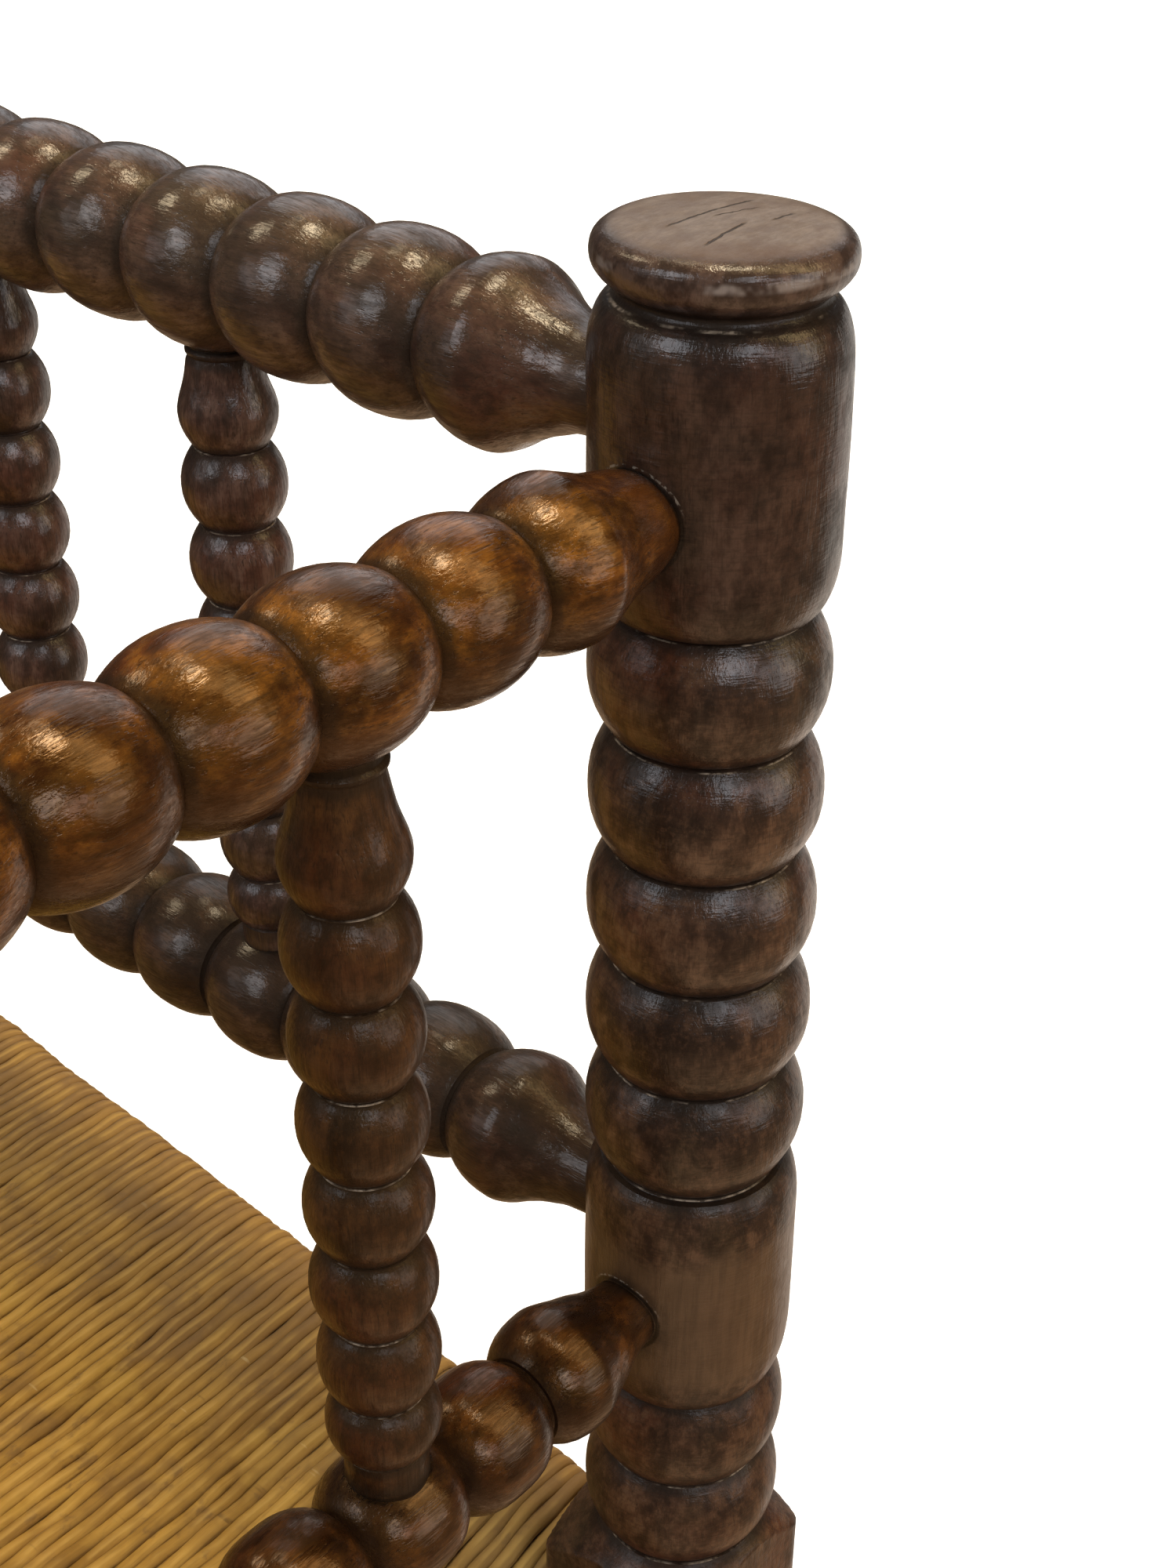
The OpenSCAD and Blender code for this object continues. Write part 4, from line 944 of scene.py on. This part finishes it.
# ---------------------------------------------------------------- floor, light, world
fm = Graph("pale_floor")
fb = fm.add("ShaderNodeBsdfPrincipled", {"Base Color": (0.88, 0.89, 0.91, 1), "Roughness": 1.0, "Specular IOR Level": 0.0,
                                         "Emission Color": (0.90, 0.95, 1.0, 1), "Emission Strength": 0.55})
fm.link(fb.outputs[0], fm.out.inputs[0])
me = bpy.data.meshes.new("floor")
me.from_pydata([(-25, -25, 0), (25, -25, 0), (25, 25, 0), (-25, 25, 0)], [], [(0, 1, 2, 3)])
floor = bpy.data.objects.new("floor", me)
me.materials.append(fm.mat)
bpy.context.scene.collection.objects.link(floor)
floor.visible_diffuse = floor.visible_glossy = False

# plain pale backdrop all round the floor, out of the way of the lights
bm = Graph("pale_backdrop")
be = bm.add("ShaderNodeEmission", {"Color": (1.0, 1.0, 1.0, 1), "Strength": 1.0})
bm.link(be.outputs[0], bm.out.inputs[0])
ring = [[(24 * math.cos(a) * math.cos(e), 24 * math.sin(a) * math.cos(e), 24 * math.sin(e)) for a in [TAU * i / 48 for i in range(48)]]
        for e in [math.radians(k) for k in (-30, -15, 0, 15, 30, 45, 60, 75, 85)]]
dome = [q for row in ring for q in row]
faces = [(r * 48 + i, r * 48 + (i + 1) % 48, (r + 1) * 48 + (i + 1) % 48, (r + 1) * 48 + i) for r in range(8) for i in range(48)]
me = bpy.data.meshes.new("backdrop")
me.from_pydata(dome, [], faces + [tuple(8 * 48 + i for i in range(48))])
backdrop = bpy.data.objects.new("backdrop", me)
me.materials.append(bm.mat)
bpy.context.scene.collection.objects.link(backdrop)
backdrop.visible_diffuse = backdrop.visible_glossy = backdrop.visible_shadow = backdrop.visible_transmission = False

# a dim room: darker above the horizon than below it
world = bpy.data.worlds.new("studio")
bpy.context.scene.world = world
world.use_nodes = True
wn = world.node_tree
wn.nodes.clear()
wo = wn.nodes.new("ShaderNodeOutputWorld")
bg = wn.nodes.new("ShaderNodeBackground")
wtc = wn.nodes.new("ShaderNodeTexCoord")
wsep = wn.nodes.new("ShaderNodeSeparateXYZ")
wramp = wn.nodes.new("ShaderNodeValToRGB")
wramp.color_ramp.elements[0].position, wramp.color_ramp.elements[0].color = 0.05, (0.62, 0.39, 0.22, 1)
wramp.color_ramp.elements[1].position, wramp.color_ramp.elements[1].color = 0.60, (0.042, 0.043, 0.047, 1)
wlow = wramp.color_ramp.elements.new(0.34)
wlow.color = (0.17, 0.122, 0.082, 1)
wmap = wn.nodes.new("ShaderNodeMapRange")
wmap.inputs["From Min"].default_value, wmap.inputs["From Max"].default_value = -1.0, 1.0
wn.links.new(wtc.outputs["Generated"], wsep.inputs[0])
wn.links.new(wsep.outputs[2], wmap.inputs["Value"])
wn.links.new(wmap.outputs["Result"], wramp.inputs["Fac"])
wn.links.new(wramp.outputs["Color"], bg.inputs["Color"])
bg.inputs["Strength"].default_value = 1.0
wn.links.new(bg.outputs[0], wo.inputs[0])

TARGET = Vector((0.40, 0.12, 0.60))


def sun(name, direction, energy, angle, color, glint=True):
    """A broad soft light from one direction; energy in W per square metre, angle in degrees across. glint: it shows in the polish."""
    d = Vector(direction).normalized()
    L = bpy.data.lights.new(name, "SUN")
    L.energy, L.angle, L.color = energy, math.radians(angle), color
    o = bpy.data.objects.new(name, L)
    o.location = TARGET + d * 3
    o.rotation_mode = "QUATERNION"
    o.rotation_quaternion = d.to_track_quat("Z", "Y")
    o.visible_glossy = glint
    bpy.context.scene.collection.objects.link(o)


WARM, GOLD, COOL, MAUVE = (1.0, 0.82, 0.55), (1.0, 0.74, 0.36), (0.86, 0.91, 1.0), (1.0, 0.86, 0.92)
sun("warm_over", (0.0, 0.12, 0.99), 1.25, 15, WARM)
sun("warm_over_left", (-0.38, 0.16, 0.91), 0.20, 14, WARM)
sun("gold_over", (0.32, 0.28, 0.90), 0.50, 30, GOLD)
sun("warm_left", (-0.69, -0.15, 0.70), 0.40, 14, WARM)
sun("gold_right", (0.61, 0.43, 0.66), 0.55, 26, GOLD)
sun("gold_low", (0.80, 0.55, 0.24), 0.20, 26, GOLD)
sun("cool_front", (-0.16, -0.83, 0.53), 0.88, 30, COOL)
sun("cool_front_left", (-0.55, -0.78, 0.30), 0.15, 28, COOL)
sun("cool_right", (0.75, -0.41, 0.52), 0.72, 26, COOL)
sun("mauve_right", (0.92, -0.12, 0.38), 0.22, 20, MAUVE)
sun("grey_right", (0.93, 0.33, 0.15), 0.50, 34, (0.92, 0.95, 1.0))
sun("grey_back", (-0.50, 0.65, 0.57), 0.60, 50, (0.90, 0.94, 1.0))
# the pale floor beyond the bench, seen only at a slant in the polish
sun("pale_beyond", (-0.08, 0.88, -0.46), 0.42, 60, (0.97, 0.96, 0.92))
# soft fill, and what the pale floor throws back up
sun("front_fill", (0.58, -0.68, 0.38), 0.58, 60, COOL, glint=False)
sun("floor_bounce", (0.45, -0.45, -0.77), 1.45, 70, (1.0, 0.90, 0.76), glint=False)

bpy.context.scene.view_settings.view_transform = "Standard"
